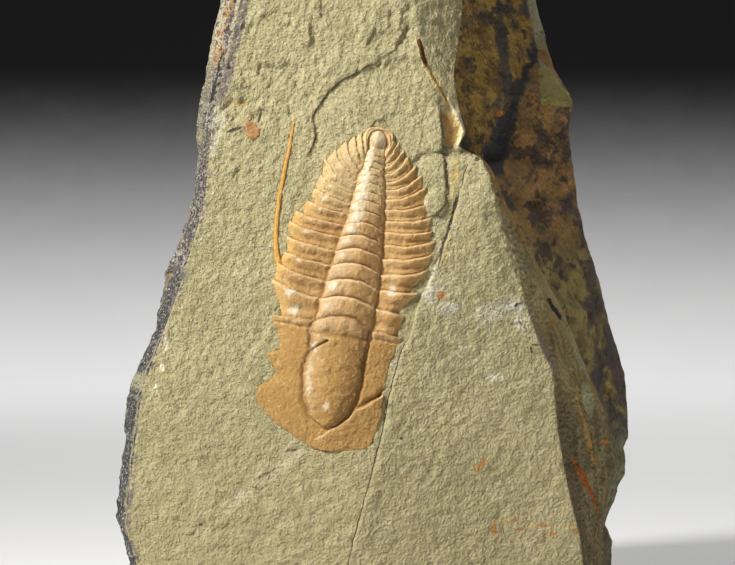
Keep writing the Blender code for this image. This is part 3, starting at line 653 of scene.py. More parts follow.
# painted shade in the split
coat(line_of("split_shade", 0.12, 0.12, uneven(1.2, 30, 1.2)), (0.03, 0.024, 0.018))
surface(0.85, 0.5, lumps(0.8, 25, detail=5, harsh=0.75) + pores(0.5, 26), 0.75)

# the bevel: thin ochre and brown layers, with red and pale veins and a pale lens
bevel_finish = new_finish("laminated_bevel")
height = high_up()
waver = uneven(1.6, 37, 0.9)
colour = layer(patches(3.5, 31, 0.35, 0.65, detail=5, stretch=(1, 3, 0.35)), (0.24, 0.185, 0.07),
               (0.46, 0.36, 0.15))
coat(patches(0.7, 32, 0.54, 0.7, 0.6, detail=3), (0.46, 0.39, 0.21))
coat(patches(1.3, 33, 0.6, 0.7, 0.7, detail=5, stretch=(1, 2.5, 0.35)), (0.08, 0.06, 0.03))
coat(patches(5, 34, 0.56, 0.7, 0.6), (0.4, 0.2, 0.045))
low_part = rise(height + 8 * lumps(3, 38), 38, 30, 0.8)
low_stone = layer(patches(2.5, 39, 0.4, 0.6, detail=5, stretch=(1, 2, 0.5)), (0.12, 0.098, 0.045),
                  (0.3, 0.25, 0.125))
coat(low_part, low_stone)
near_front = rise(read("over"), 0.22, 0.08) * rise(height, 34, 38) * rise(height, 49, 45)
coat(0.85 * near_front, (0.28, 0.235, 0.2))
low_edge = rise(read("over"), 0.45, 0.15) * rise(height, 36, 32)
coat(0.6 * low_edge, (0.12, 0.095, 0.055))
coat(rise(height, 41, 44, 0.4) * rise(height, 52, 49), (0.52, 0.4, 0.18))
over_bevel = read("over") + rise(height, 54, 66, 0.4)
bare_edge = rise(over_bevel, 0.55, 0.2) * rise(height, 46, 52, 0.9)
bare = layer(patches(0.6, 40, 0.38, 0.6, detail=3), (0.27, 0.23, 0.12), KHAKI)
coat(bare_edge, bare)
brown_edge = rise(over_bevel, 0.35, 0.55) * rise(height, 50, 56, 0.9)
brown_stone = layer(patches(2, 78, 0.38, 0.6, detail=5, stretch=(1, 2, 0.6)), (0.32, 0.175, 0.05),
                    (0.5, 0.3, 0.08))
brown_stone = layer(patches(2.6, 79, 0.57, 0.65, 0.85), brown_stone, (0.07, 0.055, 0.045))
coat(brown_edge, brown_stone)
pale_stone = layer(rise(height, 33.5, 35.5), (0.44, 0.42, 0.23), (0.75, 0.7, 0.55))
pale_stone = layer(rise(height, 34.2, 35.2), pale_stone, (0.42, 0.38, 0.21))
coat(rise(read("lens") + 0.8 * waver, 0, 0.35, 0.95), pale_stone)
coat(rise(read("stain") + 0.8 * waver, 0, 0.5), RUST_SPOT)
coat(0.9 * line_of("pale_vein", 0.08, 0.25, waver), (0.55, 0.29, 0.07))
coat(line_of("vein", 0.18, 0.16, 0.5 * waver), (0.4, 0.12, 0.015))
# painted shade in the slit
coat(line_of("slit", 0.25, 0.2, waver), (0.05, 0.03, 0.018))
surface(0.88, 0.5, lumps(1.2, 35, detail=6, stretch=(1, 2.5, 0.5)) + pores(0.7, 36), 0.5)

# the joint face on the right: iron stain with black blots and a dark band that branches upwards
joint_finish = new_finish("old_joint_face")
height = high_up()
INTO_STONE = (1, 0.4, 1)
wander = uneven(3, 47, 5, stretch=INTO_STONE)
band = read("band") + wander
# left of the dark band the stain is ochre, right of it brown, and further down yellowish olive
ochre_part = layer(patches(2.4, 48, 0.42, 0.56, detail=3, stretch=INTO_STONE), (0.22, 0.125, 0.036),
                   (0.42, 0.26, 0.055))
brown_part = layer(patches(3, 49, 0.4, 0.6, detail=3, stretch=INTO_STONE), (0.25, 0.15, 0.06), IRON_BROWN)
olive_part = layer(patches(3.4, 50, 0.4, 0.62, detail=3, stretch=INTO_STONE), (0.2, 0.15, 0.055),
                   (0.4, 0.31, 0.095))
colour = layer(rise(band, -0.8, 0.8), ochre_part, brown_part)
coat(rise(height, 62, 50), olive_part)
coat(patches(1.4, 57, 0.6, 0.68, 0.8, stretch=INTO_STONE), (0.52, 0.26, 0.05))
blot = lumps(2.2, 43, detail=2, stretch=INTO_STONE) + 0.5 * lumps(7, 44, stretch=INTO_STONE)
coat(rise(blot, 0.78, 0.88, 0.85), BLACK_STAIN)
blot = lumps(4.5, 52, detail=3, stretch=INTO_STONE) + 0.14 * read("over") + rise(height, 48, 40, 0.12)
coat(rise(blot, 0.75, 0.87, 0.85), (0.068, 0.05, 0.048))
narrow = rise(height, 80, 72, 1.7, 0.6) + 0.8 * lumps(4, 58)
dark = rise(abs(band) - narrow, 0.2, -0.5) * rise(height, 63, 66.5)
coat(0.95 * dark, (0.045, 0.048, 0.058))
coat(rise(read("branch") + 0.6 * wander + rise(height, 87, 98), 1.4, 0.7, 0.85), (0.055, 0.05, 0.05))
olive_stone = layer(rise(height, 84.6, 85.8), (0.36, 0.32, 0.1), (0.38, 0.35, 0.21))
coat(rise(read("olive") + uneven(1.5, 53, 0.8), 0, 0.2, 0.9), olive_stone)
bare = layer(patches(1.5, 55, 0.4, 0.6, stretch=INTO_STONE), (0.135, 0.12, 0.058), (0.25, 0.23, 0.12))
coat(rise(height + 8 * lumps(4, 54), 32, 27), bare)
coat(rise(read("stain") + uneven(1.2, 56, 0.8), 0, 0.5), RUST_SPOT)
surface(0.8, 0.5, 1.6 * lumps(1.6, 45, detail=6, stretch=INTO_STONE, harsh=0.7) + pores(0.8, 46), 0.45)

# the back, top and underside: plain stone in beds, stained in places
back_finish = new_finish("broken_siltstone")
colour, grain = siltstone()
IN_BEDS = (0.16, 1.7, 0.16)
beds = lumps(2.2, 59, stretch=IN_BEDS)
coat(rise(beds, 0.5, 0.62, 0.55), (0.27, 0.23, 0.12))
coat(rise(beds, 0.45, 0.34, 0.45), (0.58, 0.52, 0.33))
coat(patches(8, 51, 0.5, 0.7, 0.7), (0.32, 0.21, 0.08))
coat(patches(4, 74, 0.6, 0.68, 0.55, detail=5), IRON_BROWN)
coat(patches(2.2, 75, 0.63, 0.68, 0.7, detail=5), (0.09, 0.075, 0.06))
behind = read("behind") + 0.45 * lumps(5, 76, detail=5)
speckled = layer(patches(0.7, 21, 0.44, 0.56), CRUST_DARK, CRUST_PALE)
coat(rise(behind, 1.08, 1.16, 0.9), speckled)
surface(0.9, 0.5, grain + 2.5 * beds, 0.4)

FINISHES = {"front": front_finish, "strip": strip_finish, "bevel": bevel_finish, "joint": joint_finish,
            "back": back_finish}
for finish in FINISHES.values():
    block.data.materials.append(finish)
order = list(FINISHES)
block.data.polygons.foreach_set("material_index", [order.index(zone) for zone in face_zones])
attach(block, "root")
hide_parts("matrix")

# The trilobite: the animal's shell, turned to ochre mineral in the bedding face, seen from above with
# its head down. The head shield, fifteen segments, tail shield and the long spine on its left are one
# piece in the rock. It is measured along its body from the front of the head, and out to the right.
HEAD_FRONT = (-7.83, 24)
TILT = math.radians(10.1)
LENGTH = 50.4
SEGMENTS = 15
HEAD_REAR = 19.1
NECK_REAR = 20.9
FIRST_SEGMENT = 3
SHRINK = 0.915
BOW = 0.45
UNDERSIDE = -1
NOTCH = 1.1
HEAD_ROWS, SEGMENT_ROWS, TAIL_ROWS = 150, 20, 20
FLANK_COLUMNS, AXIS_COLUMNS = 64, 56
HEAD_LEFT = [(0, 1.3), (0.6, 2.6), (1.4, 4.6), (2.1, 6), (3, 7.8), (4.1, 9.3), (5.3, 10.6),
             (6.7, 11.4), (8.2, 11.1), (9.4, 9.5), (10.4, 8.7), (11.9, 10.2), (13.1, 10.6), (14, 9.1),
             (16.9, 9.7), (18.1, 10.8), (19.1, 11.1)]
HEAD_RIGHT = [(0, 1.4), (0.6, 3.7), (1.3, 6.4), (2.5, 7.3), (4.5, 7.7), (7, 8), (8.7, 7.9),
              (11, 7.7), (14.5, 7.8), (16.8, 8.4), (19.1, 9.1)]
GLABELLA_LEFT = [(0, 0.4), (3.6, 0.9), (4.2, 1.9), (5.1, 2.7), (6.8, 3.8), (8.9, 4.4), (11, 4.9),
                 (12.7, 4.8), (15, 4.3), (17.6, 4.9), (19.1, 4.7)]
GLABELLA_RIGHT = [(0, 0.4), (3.7, 0.8), (4.4, 1.8), (5.4, 2.7), (6.8, 3.4), (8.9, 4), (11, 4.2),
                  (13.5, 4.1), (16, 4), (17.6, 4.2), (19.1, 4.3)]
LEFT_TIPS = [(19.1, 11.1), (24.8, 12.4), (27.2, 11.6), (29.1, 10.9), (31.5, 10.9), (33.8, 11.1),
             (35.5, 10.2), (37.4, 8.8), (39.5, 8.1), (41.8, 7.7), (44.2, 7.2), (45.9, 6), (47.5, 4.6),
             (48.4, 3.3), (49.1, 2.4), (49.7, 1.7)]
RIGHT_TIPS = [(19.1, 9.1), (22.6, 8.9), (26.6, 10.6), (30.2, 11.4), (32.8, 11.7), (34.7, 11.6),
              (36.2, 11), (38.1, 10.2), (40.3, 9.5), (42.7, 8.6), (44.3, 7.6), (45.8, 6.7),
              (46.9, 5.2), (47.8, 4.2), (48.7, 3.3), (49.5, 2.5)]
BRIM_CRACK = [(7.9, 10.4), (7.1, 9.4), (4, 6.7), (1.8, 4.2), (-1.1, 1.5)]
GASH = [(-2, 16.8), (-3, 16.1), (-4.3, 14.8)]
TAIL_BOSS = (48.6, 0.16)
BOSS_RADIUS = 1.25
CHALK_SPOTS = [(-8, 20.4, 1.1), (-8.8, 23.4, 0.7), (-2.7, 25.3, 0.6), (-6.6, 37.9, 0.5), (6.4, 26.1, 0.9)]
notch_depths = np.random.default_rng(7).uniform(0.5, 1.4, (2, SEGMENTS + 1))

# shares of the way from the tip of a pleura to the axial furrow, and across the axis
flank = np.linspace(1, 0, FLANK_COLUMNS)
crown = np.linspace(-1, 1, AXIS_COLUMNS + 2)[1:-1]


def ring_rear(i):
    """Where ring i ends on the midline; ring 0 is the neck ring."""
    return NECK_REAR + FIRST_SEGMENT * (1 - SHRINK ** i) / (1 - SHRINK)


def arch(i):
    """How far a ring's rear edge bows back over the axis."""
    return 1.5 if i == 0 else 1 - 0.03 * i


def axis_half(a):
    """Half the width of the axis, which narrows towards the tail."""
    t = np.clip((a - 18.7) / 28.3, 0, 1)
    return 4.4 - 1.3 * t - 1.9 * t * t


def axis_bow(a):
    """How far the axis bows out to the right between head and tail."""
    return BOW * math.sin(math.pi * min(max((a - 22) / (LENGTH - 22), 0), 1))


def pleura_line(i, side, s):
    """The rear edge of pleura i from the axial furrow, s = 0, to its tip, s = 1, as along and out."""
    root_a = ring_rear(i) - arch(i)
    root = np.array((root_a, side * axis_half(root_a) + axis_bow(root_a)))
    tip_a, tip_out = (RIGHT_TIPS if side > 0 else LEFT_TIPS)[i]
    tip = np.array((tip_a, side * tip_out))
    bend = np.array((root[0] + 0.12 * (tip[0] - root[0]), root[1] + 0.62 * (tip[1] - root[1])))
    s = s[:, None]
    return root * (1 - s) ** 2 + bend * 2 * s * (1 - s) + tip * s * s


def pleura_rise(i, v, s, side):
    """How high a pleura stands: up from the axial furrow to its bend and down to its tip, in two bands
    with a furrow between them, the rear edge the highest and steepest."""
    size = 1 - 0.45 * i / SEGMENTS
    margin = 0.25 if side < 0 else 0.12
    level = margin + size * (0.48 + 0.55 * ease(s / 0.55)) * (1 - np.clip((flank - 0.35) / 0.65, 0, 1) ** 2)
    furrow = 0.18 * size * bell(s, 0, 0.05)
    saw = 0.55 * ease(v / 0.14) * (1 - 0.5 * ease((v - 0.2) / 0.25)) + ease((v - 0.35) / 0.45)
    saw = saw - 0.75 * ease((v - 0.93) / 0.07)
    hollow = bell(v, 0.36 - 0.1 * s, 0.13) * bell(s, 0.48, 0.26)
    bands = 0.34 * size * ease(s / 0.1) * ease((1.25 - s) / 0.5) * (1 if side > 0 or i < 11 else 0.6)
    return level - furrow + bands * (saw - 0.6) - 0.32 * size * hollow


def ring_relief(v):
    """A ring is a rounded roll, highest behind its middle, with a furrow in front of it."""
    return 1 - 0.95 * abs((v - 0.58) / 0.58) ** 3 - 0.25 * ease((v - 0.94) / 0.06)


def axis_rise(i, v, t):
    """How high a ring stands, t running from -1 to 1 across it. The rear rings are worn to a ridge that
    lies left of the middle."""
    size = 1 - 0.52 * (i - 1 + v) / SEGMENTS
    lean = 0.3 * ease((i - 4) / 4)
    across = (t + lean) / (1 + lean * np.sign(t + lean))
    steepness = 0.85 + 0.35 * ease((i - 4) / 4) + np.where(across > 0, 0.3, 0)
    dome = np.sqrt(np.maximum(0, 1 - across * across)) ** steepness
    ringed = 1 - 0.96 * ease((i - 5) / 3) * bell(t, -0.4, 0.5)
    base = 0.67 * (1 - 0.35 * i / SEGMENTS)
    return base + dome * (1.48 * size - 0.72 * size ** 0.6 * ringed * (1 - ring_relief(v)))


def thorax_row(i, v):
    """One row of points across segment i, left tip to right tip, with its height and its marks."""
    places, heights, flanks = [], [], []
    for side in (-1, 1):
        tip, root = pleura_line(i, side, np.array([1]))[0], pleura_line(i, side, np.array([0]))[0]
        notch = NOTCH * notch_depths[max(side, 0), i] * (1 if i < 9 else 0.5) * (1 if side < 0 else 1.7)
        sharpness = 2.6 if side < 0 else 1.2
        if i == 1 and side < 0:
            notch, sharpness = 2.3, 0.7
        notch = min(0.3, notch / np.linalg.norm(tip - root))
        s = flank * (1 - notch * (1 - v) ** sharpness)
        point = pleura_line(i - 1, side, s) * (1 - v) + pleura_line(i, side, s) * v
        height = pleura_rise(i, v, s, side)
        for kept, values in ((places, point), (heights, height), (flanks, s)):
            kept.append(values[::-side])
    inner_left, inner_right = places[0][-1], places[1][0]
    bulge = arch(i - 1) * (1 - v) + arch(i) * v
    middle = inner_left + (inner_right - inner_left) * (0.5 + 0.5 * crown[:, None])
    middle[:, 0] += bulge * (1 - crown ** 2)
    rises = np.concatenate((heights[0], axis_rise(i, v, crown), heights[1]))
    in_streak = ease((i - 5) / 3) * bell(crown, -0.42, 0.4)
    # chalk along the worn ridge of the rear rings, and partly painted highlight on the left ends of the rings
    # and on the bends of the pleurae that face the light
    worn = 0.8 * ease((i - 4) / 3) * bell(crown, -0.42, 0.42)
    worn += 0.8 * bell(crown, -0.72, 0.2) * bell(v, 0.6, 0.3)
    chalk_and_highlight = (0.85 * bell(flanks[0], 0.6, 0.08) * bell(v, 0.8, 0.14), worn,
             0.55 * bell(flanks[1], 0.3, 0.12) * bell(v, 0.85, 0.12) * ease((6 - i) / 3))
    # painted shade: darker in the axial and pleural furrows, between the rings, and on the right side of the
    # axis away from the light
    banded = 0.16 - 0.06 * ease((i - 9) / 3)
    furrow = [root_shade * bell(s, 0, 0.05) + depth_of * bell(v, 0.36, 0.12) * bell(s, 0.5, 0.25)
              for s, depth_of, root_shade in zip(flanks, (banded, 0.45), (0.35, 0.1))]
    between = 0.65 * bell(v, 0.02, 0.07) * (1 - 0.6 * ease((crown - 0.6) / 0.3)) * (1 - 0.9 * in_streak)
    between += 0.8 * ease((crown + 0.05) / 0.6) * (1 - 0.8 * ease((crown - 0.55) / 0.4)) \
        * (1 - 0.9 * ease((i - 6) / 3)) + 0.3 * ease((-crown - 0.85) / 0.15)
    bare = 0 * flank
    marks = {
        "chalk_and_highlight": chalk_and_highlight,
        # painted highlight on each rear edge, which faces the light
        "rear_edge_highlight": bell(v, 0.93, 0.05) * np.concatenate((bare + 1, 1 - 0.9 * in_streak, bare + 1)),
        "furrow": (furrow[0], between, furrow[1]),
        "outer": (ease((flanks[0] - 0.5) / 0.4), 0 * crown, 0.7 * ease((flanks[1] - 0.6) / 0.4)),
        # painted light on the left of the axis, which faces the light
        "lit": (bare, ease((0.25 - crown) / 0.9), bare),
    }
    return np.vstack((places[0], middle, places[1])), rises, marks


def glabella(a):
    """The middle of the glabella and half its width."""
    left, right = at_height(GLABELLA_LEFT, a), at_height(GLABELLA_RIGHT, a)
    return (right - left) / 2, (right + left) / 2


def head_sides(a):
    """The left and right margins of the head shield."""
    return -at_height(HEAD_LEFT, a), at_height(HEAD_RIGHT, a)


def head_rise(a, out):
    """The head shield: cheeks, brim, glabella, neck furrow and neck ring."""
    middle, half = glabella(a)
    beside = np.abs(out - middle)
    left, right = head_sides(a)
    edge = np.where(out < 0, middle - left, right - middle)
    share = np.clip((beside - half) / np.maximum(edge - half, 0.1), 0, 1)
    height = 0.35 + 0.55 * ease(a / 12) * (1 - share ** 2) - np.where(out < 0, 0.08, 0.22) * share
    height = height * (0.4 + 0.6 * ease(a / 3))
    height = height - 0.34 * bell(share, 0, 0.1) * ease((a - 2) / 4)
    aside, past = side_of(BRIM_CRACK, out, a)
    lip = ease(0.5 + aside / 0.22)
    height += 0.45 * lip * ease(1 - aside / 5) * ease(1 - 2 * past) * ease((out + 3) / 4)
    height -= 0.6 * bell(aside, -0.3, 0.35) * ease((out - 3.5) / 3) * ease(1 - 3 * past)
    height -= 0.28 * bell(a, 18.15, 0.3) * ease((share - 0.02) / 0.1)
    height += 0.22 * bell(a, HEAD_REAR, 0.55) * ease((share - 0.02) / 0.1)
    inside = (beside < half) & (a > 3.5)
    dome = np.sqrt(np.maximum(0, 1 - (beside / half) ** 2))
    nose = math.sqrt(1 - min(max((8 - a) / 4.6, 0), 1) ** 2)
    lift = 1.5 * dome ** np.where(out > middle, 1, 0.7) * nose - 0.45 * dome * bell(a, 17.6, 0.45)
    lift += 0.2 * dome * rough(out, 2, a, 2.2, 77, 2)
    gash, past = side_of(GASH, out, a)
    lift -= 0.6 * bell(gash, 0, 0.2) * ease(1 - 3 * past)
    return height + np.where(inside, lift, 0)


def head_row(a):
    """One row across the head shield; the rear rows bow back over the neck ring."""
    middle, half = glabella(a)
    left, right = head_sides(a)
    low, high = middle - half, middle + half
    out = np.concatenate((low + (left - low) * flank, middle + crown * half,
                          high + (right - high) * flank[::-1]))
    dome = np.concatenate((0 * flank, 1 - crown ** 2, 0 * flank))
    place = np.column_stack((a + arch(0) * ease((a - 17.3) / 1.8) * dome, out))
    across = (out - middle) / half
    on_glabella = np.abs(across) < 1
    from_crack, past_crack = side_of(BRIM_CRACK, out, a)
    from_gash, past_gash = side_of(GASH, out, a)
    # chalky patches on the glabella and by the gash, and painted highlights along the glabella's left edge
    # and the raised lip of the brim crack, which face the light
    chalk_and_highlight = 0.72 * bell(across, -0.8, 0.16) * ease((a - 4.5) / 3) * ease((17 - a) / 2)
    chalk_and_highlight += 0.6 * bell(across, -0.6, 0.3) * ease((a - 17.8) / 0.8)
    chalk_and_highlight += 0.5 * bell(from_gash, -0.45, 0.35) * ease(1 - past_gash / 0.6)
    chalk_and_highlight += 0.8 * bell(np.hypot(out + 0.4, (a - 6.8) * 0.5), 0, 0.6)
    chalk_and_highlight += 0.5 * bell(np.hypot(out - 1.2, a - 9.5), 0, 1)
    chalk_and_highlight += 0.6 * bell(from_crack, 0.15, 0.14) * ease(1 - past_crack / 0.6)
    share = np.abs(np.abs(out - middle) - half)
    # painted shade: darker round the glabella, in the neck furrow, on the glabella's right side, in the
    # cavity beside the brim crack and in the gash
    shade = 0.8 * bell(share, 0.15, 0.22) * ease((a - 3) / 2) + 0.6 * bell(a, 17.7, 0.2) * on_glabella
    shade += 0.75 * ease((across + 0.2) / 1) * on_glabella * ease((a - 3) / 2)
    shade += 1.2 * bell(from_crack, -0.3, 0.24) * ease((out - 4) / 3)
    shade += 1.2 * bell(from_gash, 0, 0.14) * ease(1 - past_gash / 0.3)
    # painted light on the left of the glabella; the neck ring is paler as well
    lit = 0.5 * ease((-0.1 - across) / 0.8) * (np.abs(across) < 1.05) * ease((a - 4) / 3)
    marks = {"chalk_and_highlight": chalk_and_highlight, "rear_edge_highlight": 0 * out, "furrow": shade, "outer": 0.6 * ease((-out - 7) / 4),
             "lit": lit + 0.5 * ease((a - 17.6) / 1)}
    return place, head_rise(a, out), marks


def tail_row(step):
    """Rows of the tail shield, which pass round the small boss at the end of the axis and meet behind it."""
    places, heights = [], []
    for side in (-1, 1):
        tip, root = (pleura_line(SEGMENTS, side, np.array([s]))[0] for s in (1, 0))
        turn = step * math.pi / 2
        end_out = TAIL_BOSS[1] + side * 0.01
        outer = np.array((tip[0] + (LENGTH - tip[0]) * math.sin(turn),
                          end_out + (tip[1] - end_out) * math.cos(turn)))
        turn = ease((step - 0.3) / 0.7) * math.pi / 2
        round_boss = np.array((TAIL_BOSS[0] + BOSS_RADIUS * math.sin(turn),
                               end_out + side * BOSS_RADIUS * math.cos(turn)))
        inner = root + (round_boss - root) * ease(step / 0.3)
        point = inner + (outer - inner) * flank[:, None]
        height = 0.42 + 0.25 * bell(flank, 0.75, 0.3) - 0.28 * bell(flank, 0, 0.18) - 0.12 * flank ** 4
        height += 0.13 * np.sin(16 * (1 - flank)) * (1 - 0.7 * step)
        places.append(point[::-side])
        heights.append(height[::-side])
    inner_left, inner_right = places[0][-1], places[1][0]
    middle = inner_left + (inner_right - inner_left) * (0.5 + 0.5 * crown[:, None])
    middle[:, 0] += arch(SEGMENTS) * (1 - crown ** 2) * (1 - ease(step / 0.5))
    from_boss = np.hypot(middle[:, 0] - TAIL_BOSS[0], middle[:, 1] - TAIL_BOSS[1]) / BOSS_RADIUS
    hump = 0.3 + 0.85 * np.sqrt(np.maximum(0, 1 - from_boss ** 2)) \
        + 0.35 * np.sqrt(1 - crown ** 2) * (1 - ease(step / 0.25))
    rises = np.concatenate((heights[0], hump, heights[1]))
    bare = 0 * rises
    marks = {"chalk_and_highlight": (0.2 * flank, 0.65 + 0 * crown, 0.2 * flank), "rear_edge_highlight": bare, "furrow": bare,
             "outer": 0.3 + bare, "lit": 0.3 + bare}
    return np.vstack((places[0], middle, places[1])), rises, marks


rows = [head_row(a) for a in np.linspace(0, HEAD_REAR, HEAD_ROWS)]
for i in range(1, SEGMENTS + 1):
    count = max(13, int(SEGMENT_ROWS * SHRINK ** (i - 1)))
    rows += [thorax_row(i, 0.5 - 0.5 * math.cos(math.pi * k / count)) for k in range(1, count + 1)]
rows += [tail_row(step) for step in np.linspace(0.06, 1, TAIL_ROWS)]
body_a, body_out = np.array([places.T for places, _, _ in rows]).transpose(1, 0, 2)
body_rise = np.array([rises for _, rises, _ in rows])
body_marks = {name: np.array([np.hstack(marks[name]) for _, _, marks in rows]) for name in rows[0][2]}


def on_face(a, out):
    """From the body's own measures to the block's width and height."""
    return (HEAD_FRONT[0] + a * math.sin(TILT) + out * math.cos(TILT),
            HEAD_FRONT[1] + a * math.cos(TILT) - out * math.sin(TILT))


# broken, flaking shell: its lines waver and its surface is as grainy as the stone
body_marks["pale"] = ease((body_a - 34) / 7) * ease(1.2 - np.abs(body_out + 3) / 9)
body_marks["head"] = ease((19 - body_a) / 1.5)
for out, a, size in CHALK_SPOTS:
    body_marks["chalk_and_highlight"] += 1.2 * bell(np.hypot(body_out - out, body_a - a), 0, size)
in_body = ease((LENGTH - 0.3 - body_a) / 2)
body_a, body_out = (body_a + 0.17 * in_body * rough(body_out, 1, body_a, 1.6, 85),
                    body_out + 0.24 * in_body * rough(body_out, 1, body_a, 1.4, 86))
body_x, body_z = on_face(body_a, body_out)
body_rise += (0.1 - 0.04 * body_marks["head"]) * rough(body_x, 0, body_z, 1.3, 81)
body_rise += 0.06 * rough(body_x, 0, body_z, 0.5, 83, 3)
body_depth = bed_depth(body_x, body_z) - body_rise
count_across = body_x.shape[1]
row_count = len(rows)
index = np.arange(row_count * count_across).reshape(row_count, count_across)
rim = np.concatenate((index[0], index[1:, -1], index[-1, -2::-1], index[-2:0:-1, 0]))
top_points = to_world(body_x, body_depth, body_z).reshape(-1, 3)
rim_points = to_world(body_x.flat[rim], np.full(len(rim), -UNDERSIDE), body_z.flat[rim])
below = len(top_points)
under = below + np.arange(len(rim))
fossil_faces = between_rows(row_count, count_across, closed=False)
fossil_faces += np.column_stack((np.roll(rim, -1), rim, under, np.roll(under, -1))).tolist()
fossil_faces.append(under[::-1].tolist())
fossil = make_piece("trilobite_shell", np.vstack((top_points, rim_points)), fossil_faces)
for name, values in body_marks.items():
    mark(fossil, name, values)

LONG_SPINE = [(25.2, -9.4), (26.2, -11), (27.9, -11.9), (30, -12.5), (33, -12.95), (37, -13.2),
              (41.4, -13.15), (45.4, -13), (49.2, -13.1)]
SPINE_RADII = [0.6, 0.58, 0.52, 0.44, 0.4, 0.37, 0.33, 0.28, 0.2]
SPINE_ROWS, SPINE_SIDES = 120, 14
steps = np.linspace(0, len(LONG_SPINE) - 1, SPINE_ROWS)
spine_a, spine_out, radius = (np.interp(steps, range(len(LONG_SPINE)), values)[:, None]
                              for values in (*zip(*LONG_SPINE), SPINE_RADII))
for _ in range(6):
    for line in (spine_a, spine_out):
        line[1:-1] = (line[:-2] + 2 * line[1:-1] + line[2:]) / 4
heading_a, heading_out = np.gradient(spine_a, axis=0), np.gradient(spine_out, axis=0)
norm = np.hypot(heading_a, heading_out)
turns = np.arange(SPINE_SIDES) * 2 * math.pi / SPINE_SIDES
spine_x, spine_z = on_face(spine_a - heading_out / norm * np.cos(turns) * radius,
                           spine_out + heading_a / norm * np.cos(turns) * radius)
spine_depth = bed_depth(*on_face(spine_a, spine_out)) - 0.02 - 0.6 * np.sin(turns) * radius
spine_depth += 0.06 * rough(spine_x, 0, spine_z, 0.8, 87)
spine_points = to_world(spine_x, spine_depth, spine_z).reshape(-1, 3)
spine_faces = between_rows(len(steps), SPINE_SIDES)
spine_faces.append(list(range(SPINE_SIDES))[::-1])
spine_faces.append([(len(steps) - 1) * SPINE_SIDES + s for s in range(SPINE_SIDES)])
spine = make_piece("long_spine", spine_points, spine_faces)
mark(spine, "spine", np.ones(len(spine_points)))
mark(spine, "spine_edge", np.repeat(ease((np.abs(np.cos(turns)) - 0.72) / 0.2)[None, :], len(steps), axis=0))

# the stone under the fossil is lowered, so that it comes up to the fossil's margin and no further
stone_x, stone_z = all_x[:HEIGHT_ROWS + 1, :FRONT_COLUMNS], all_z[:HEIGHT_ROWS + 1, :FRONT_COLUMNS]
margin = list(zip(*on_face(body_a.flat[rim[::3]], body_out.flat[rim[::3]])))
inside = np.zeros(stone_x.shape, dtype=bool)
for (x0, z0), (x1, z1) in zip(margin, margin[1:] + margin[:1]):
    if z0 != z1:
        crosses = (z0 > stone_z) != (z1 > stone_z)
        inside ^= crosses & (stone_x < (x1 - x0) * (stone_z - z0) / (z1 - z0) + x0)
to_margin = np.abs(side_of(margin + margin[:1], stone_x[inside], stone_z[inside])[0])
sunk = np.zeros(stone_x.shape)
sunk[inside] = 0.9 * ease((to_margin - 0.15) / 0.5)
points = block_points.copy()
grid = points[:-1].reshape(rows_up, columns_round, 3)
grid[:HEIGHT_ROWS + 1, :FRONT_COLUMNS, 1] += sunk * MM
block.data.vertices.foreach_set("co", points.ravel())
block.data.update()

# the shell: ochre, paler towards the tail, chalky where it is worn, with painted highlights on edges that
# face the light, painted light on its left flanks and painted shade in its furrows and on its right flanks
shell_finish = new_finish("ochre_shell")
colour = layer(patches(3.5, 61, 0.38, 0.64), (0.42, 0.24, 0.085), (0.53, 0.33, 0.135))
coat(patches(1, 62, 0.45, 0.68, 0.7), (0.5, 0.275, 0.11))
coat(0.7 * read("outer"), (0.62, 0.4, 0.135))
coat(0.7 * read("head"), (0.39, 0.225, 0.066))
coat(0.7 * read("pale"), (0.62, 0.49, 0.26))
# painted light on the left of the axis and glabella, and a paler neck ring and tail
coat(0.6 * read("lit"), (0.6, 0.43, 0.25))
coat(patches(0.34, 63, 0.55, 0.68, 0.4, detail=3), (0.26, 0.135, 0.05))
# painted shade in the furrows and on the right sides of the axis and glabella
coat(0.62 * read("furrow"), (0.17, 0.08, 0.028))
# painted highlight along the rear edges of the segments
coat(0.55 * read("rear_edge_highlight"), (0.78, 0.6, 0.36))
coat(patches(0.7, 64, 0.52, 0.68, 0.5, detail=5, harsh=0.75), (0.68, 0.5, 0.27))
# chalky wear, partly painted highlight on edges that face the light
broken_up = lumps(0.6, 65, detail=5, harsh=0.7) - 0.5 + (lumps(2.2, 68) - 0.5)
worn = read("chalk_and_highlight") + 1.5 * broken_up
coat(rise(worn, 0.35, 1.1, 0.85), (0.68, 0.61, 0.46))
coat(0.8 * read("spine"), (0.65, 0.36, 0.085))
coat(0.8 * read("spine_edge"), (0.25, 0.1, 0.02))
grain = lumps(0.3, 66, detail=1.5, harsh=0.7) + 0.8 * lumps(1, 67, detail=1)
surface(0.85, 0.2, grain, 0.15)
for piece in (fossil, spine):
    piece.data.materials.append(shell_finish)
bpy.context.view_layer.objects.active = fossil
with bpy.context.temp_override(active_object=fossil, selected_editable_objects=[fossil, spine]):
    bpy.ops.object.join()
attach(fossil, "root")
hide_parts("trilobite")

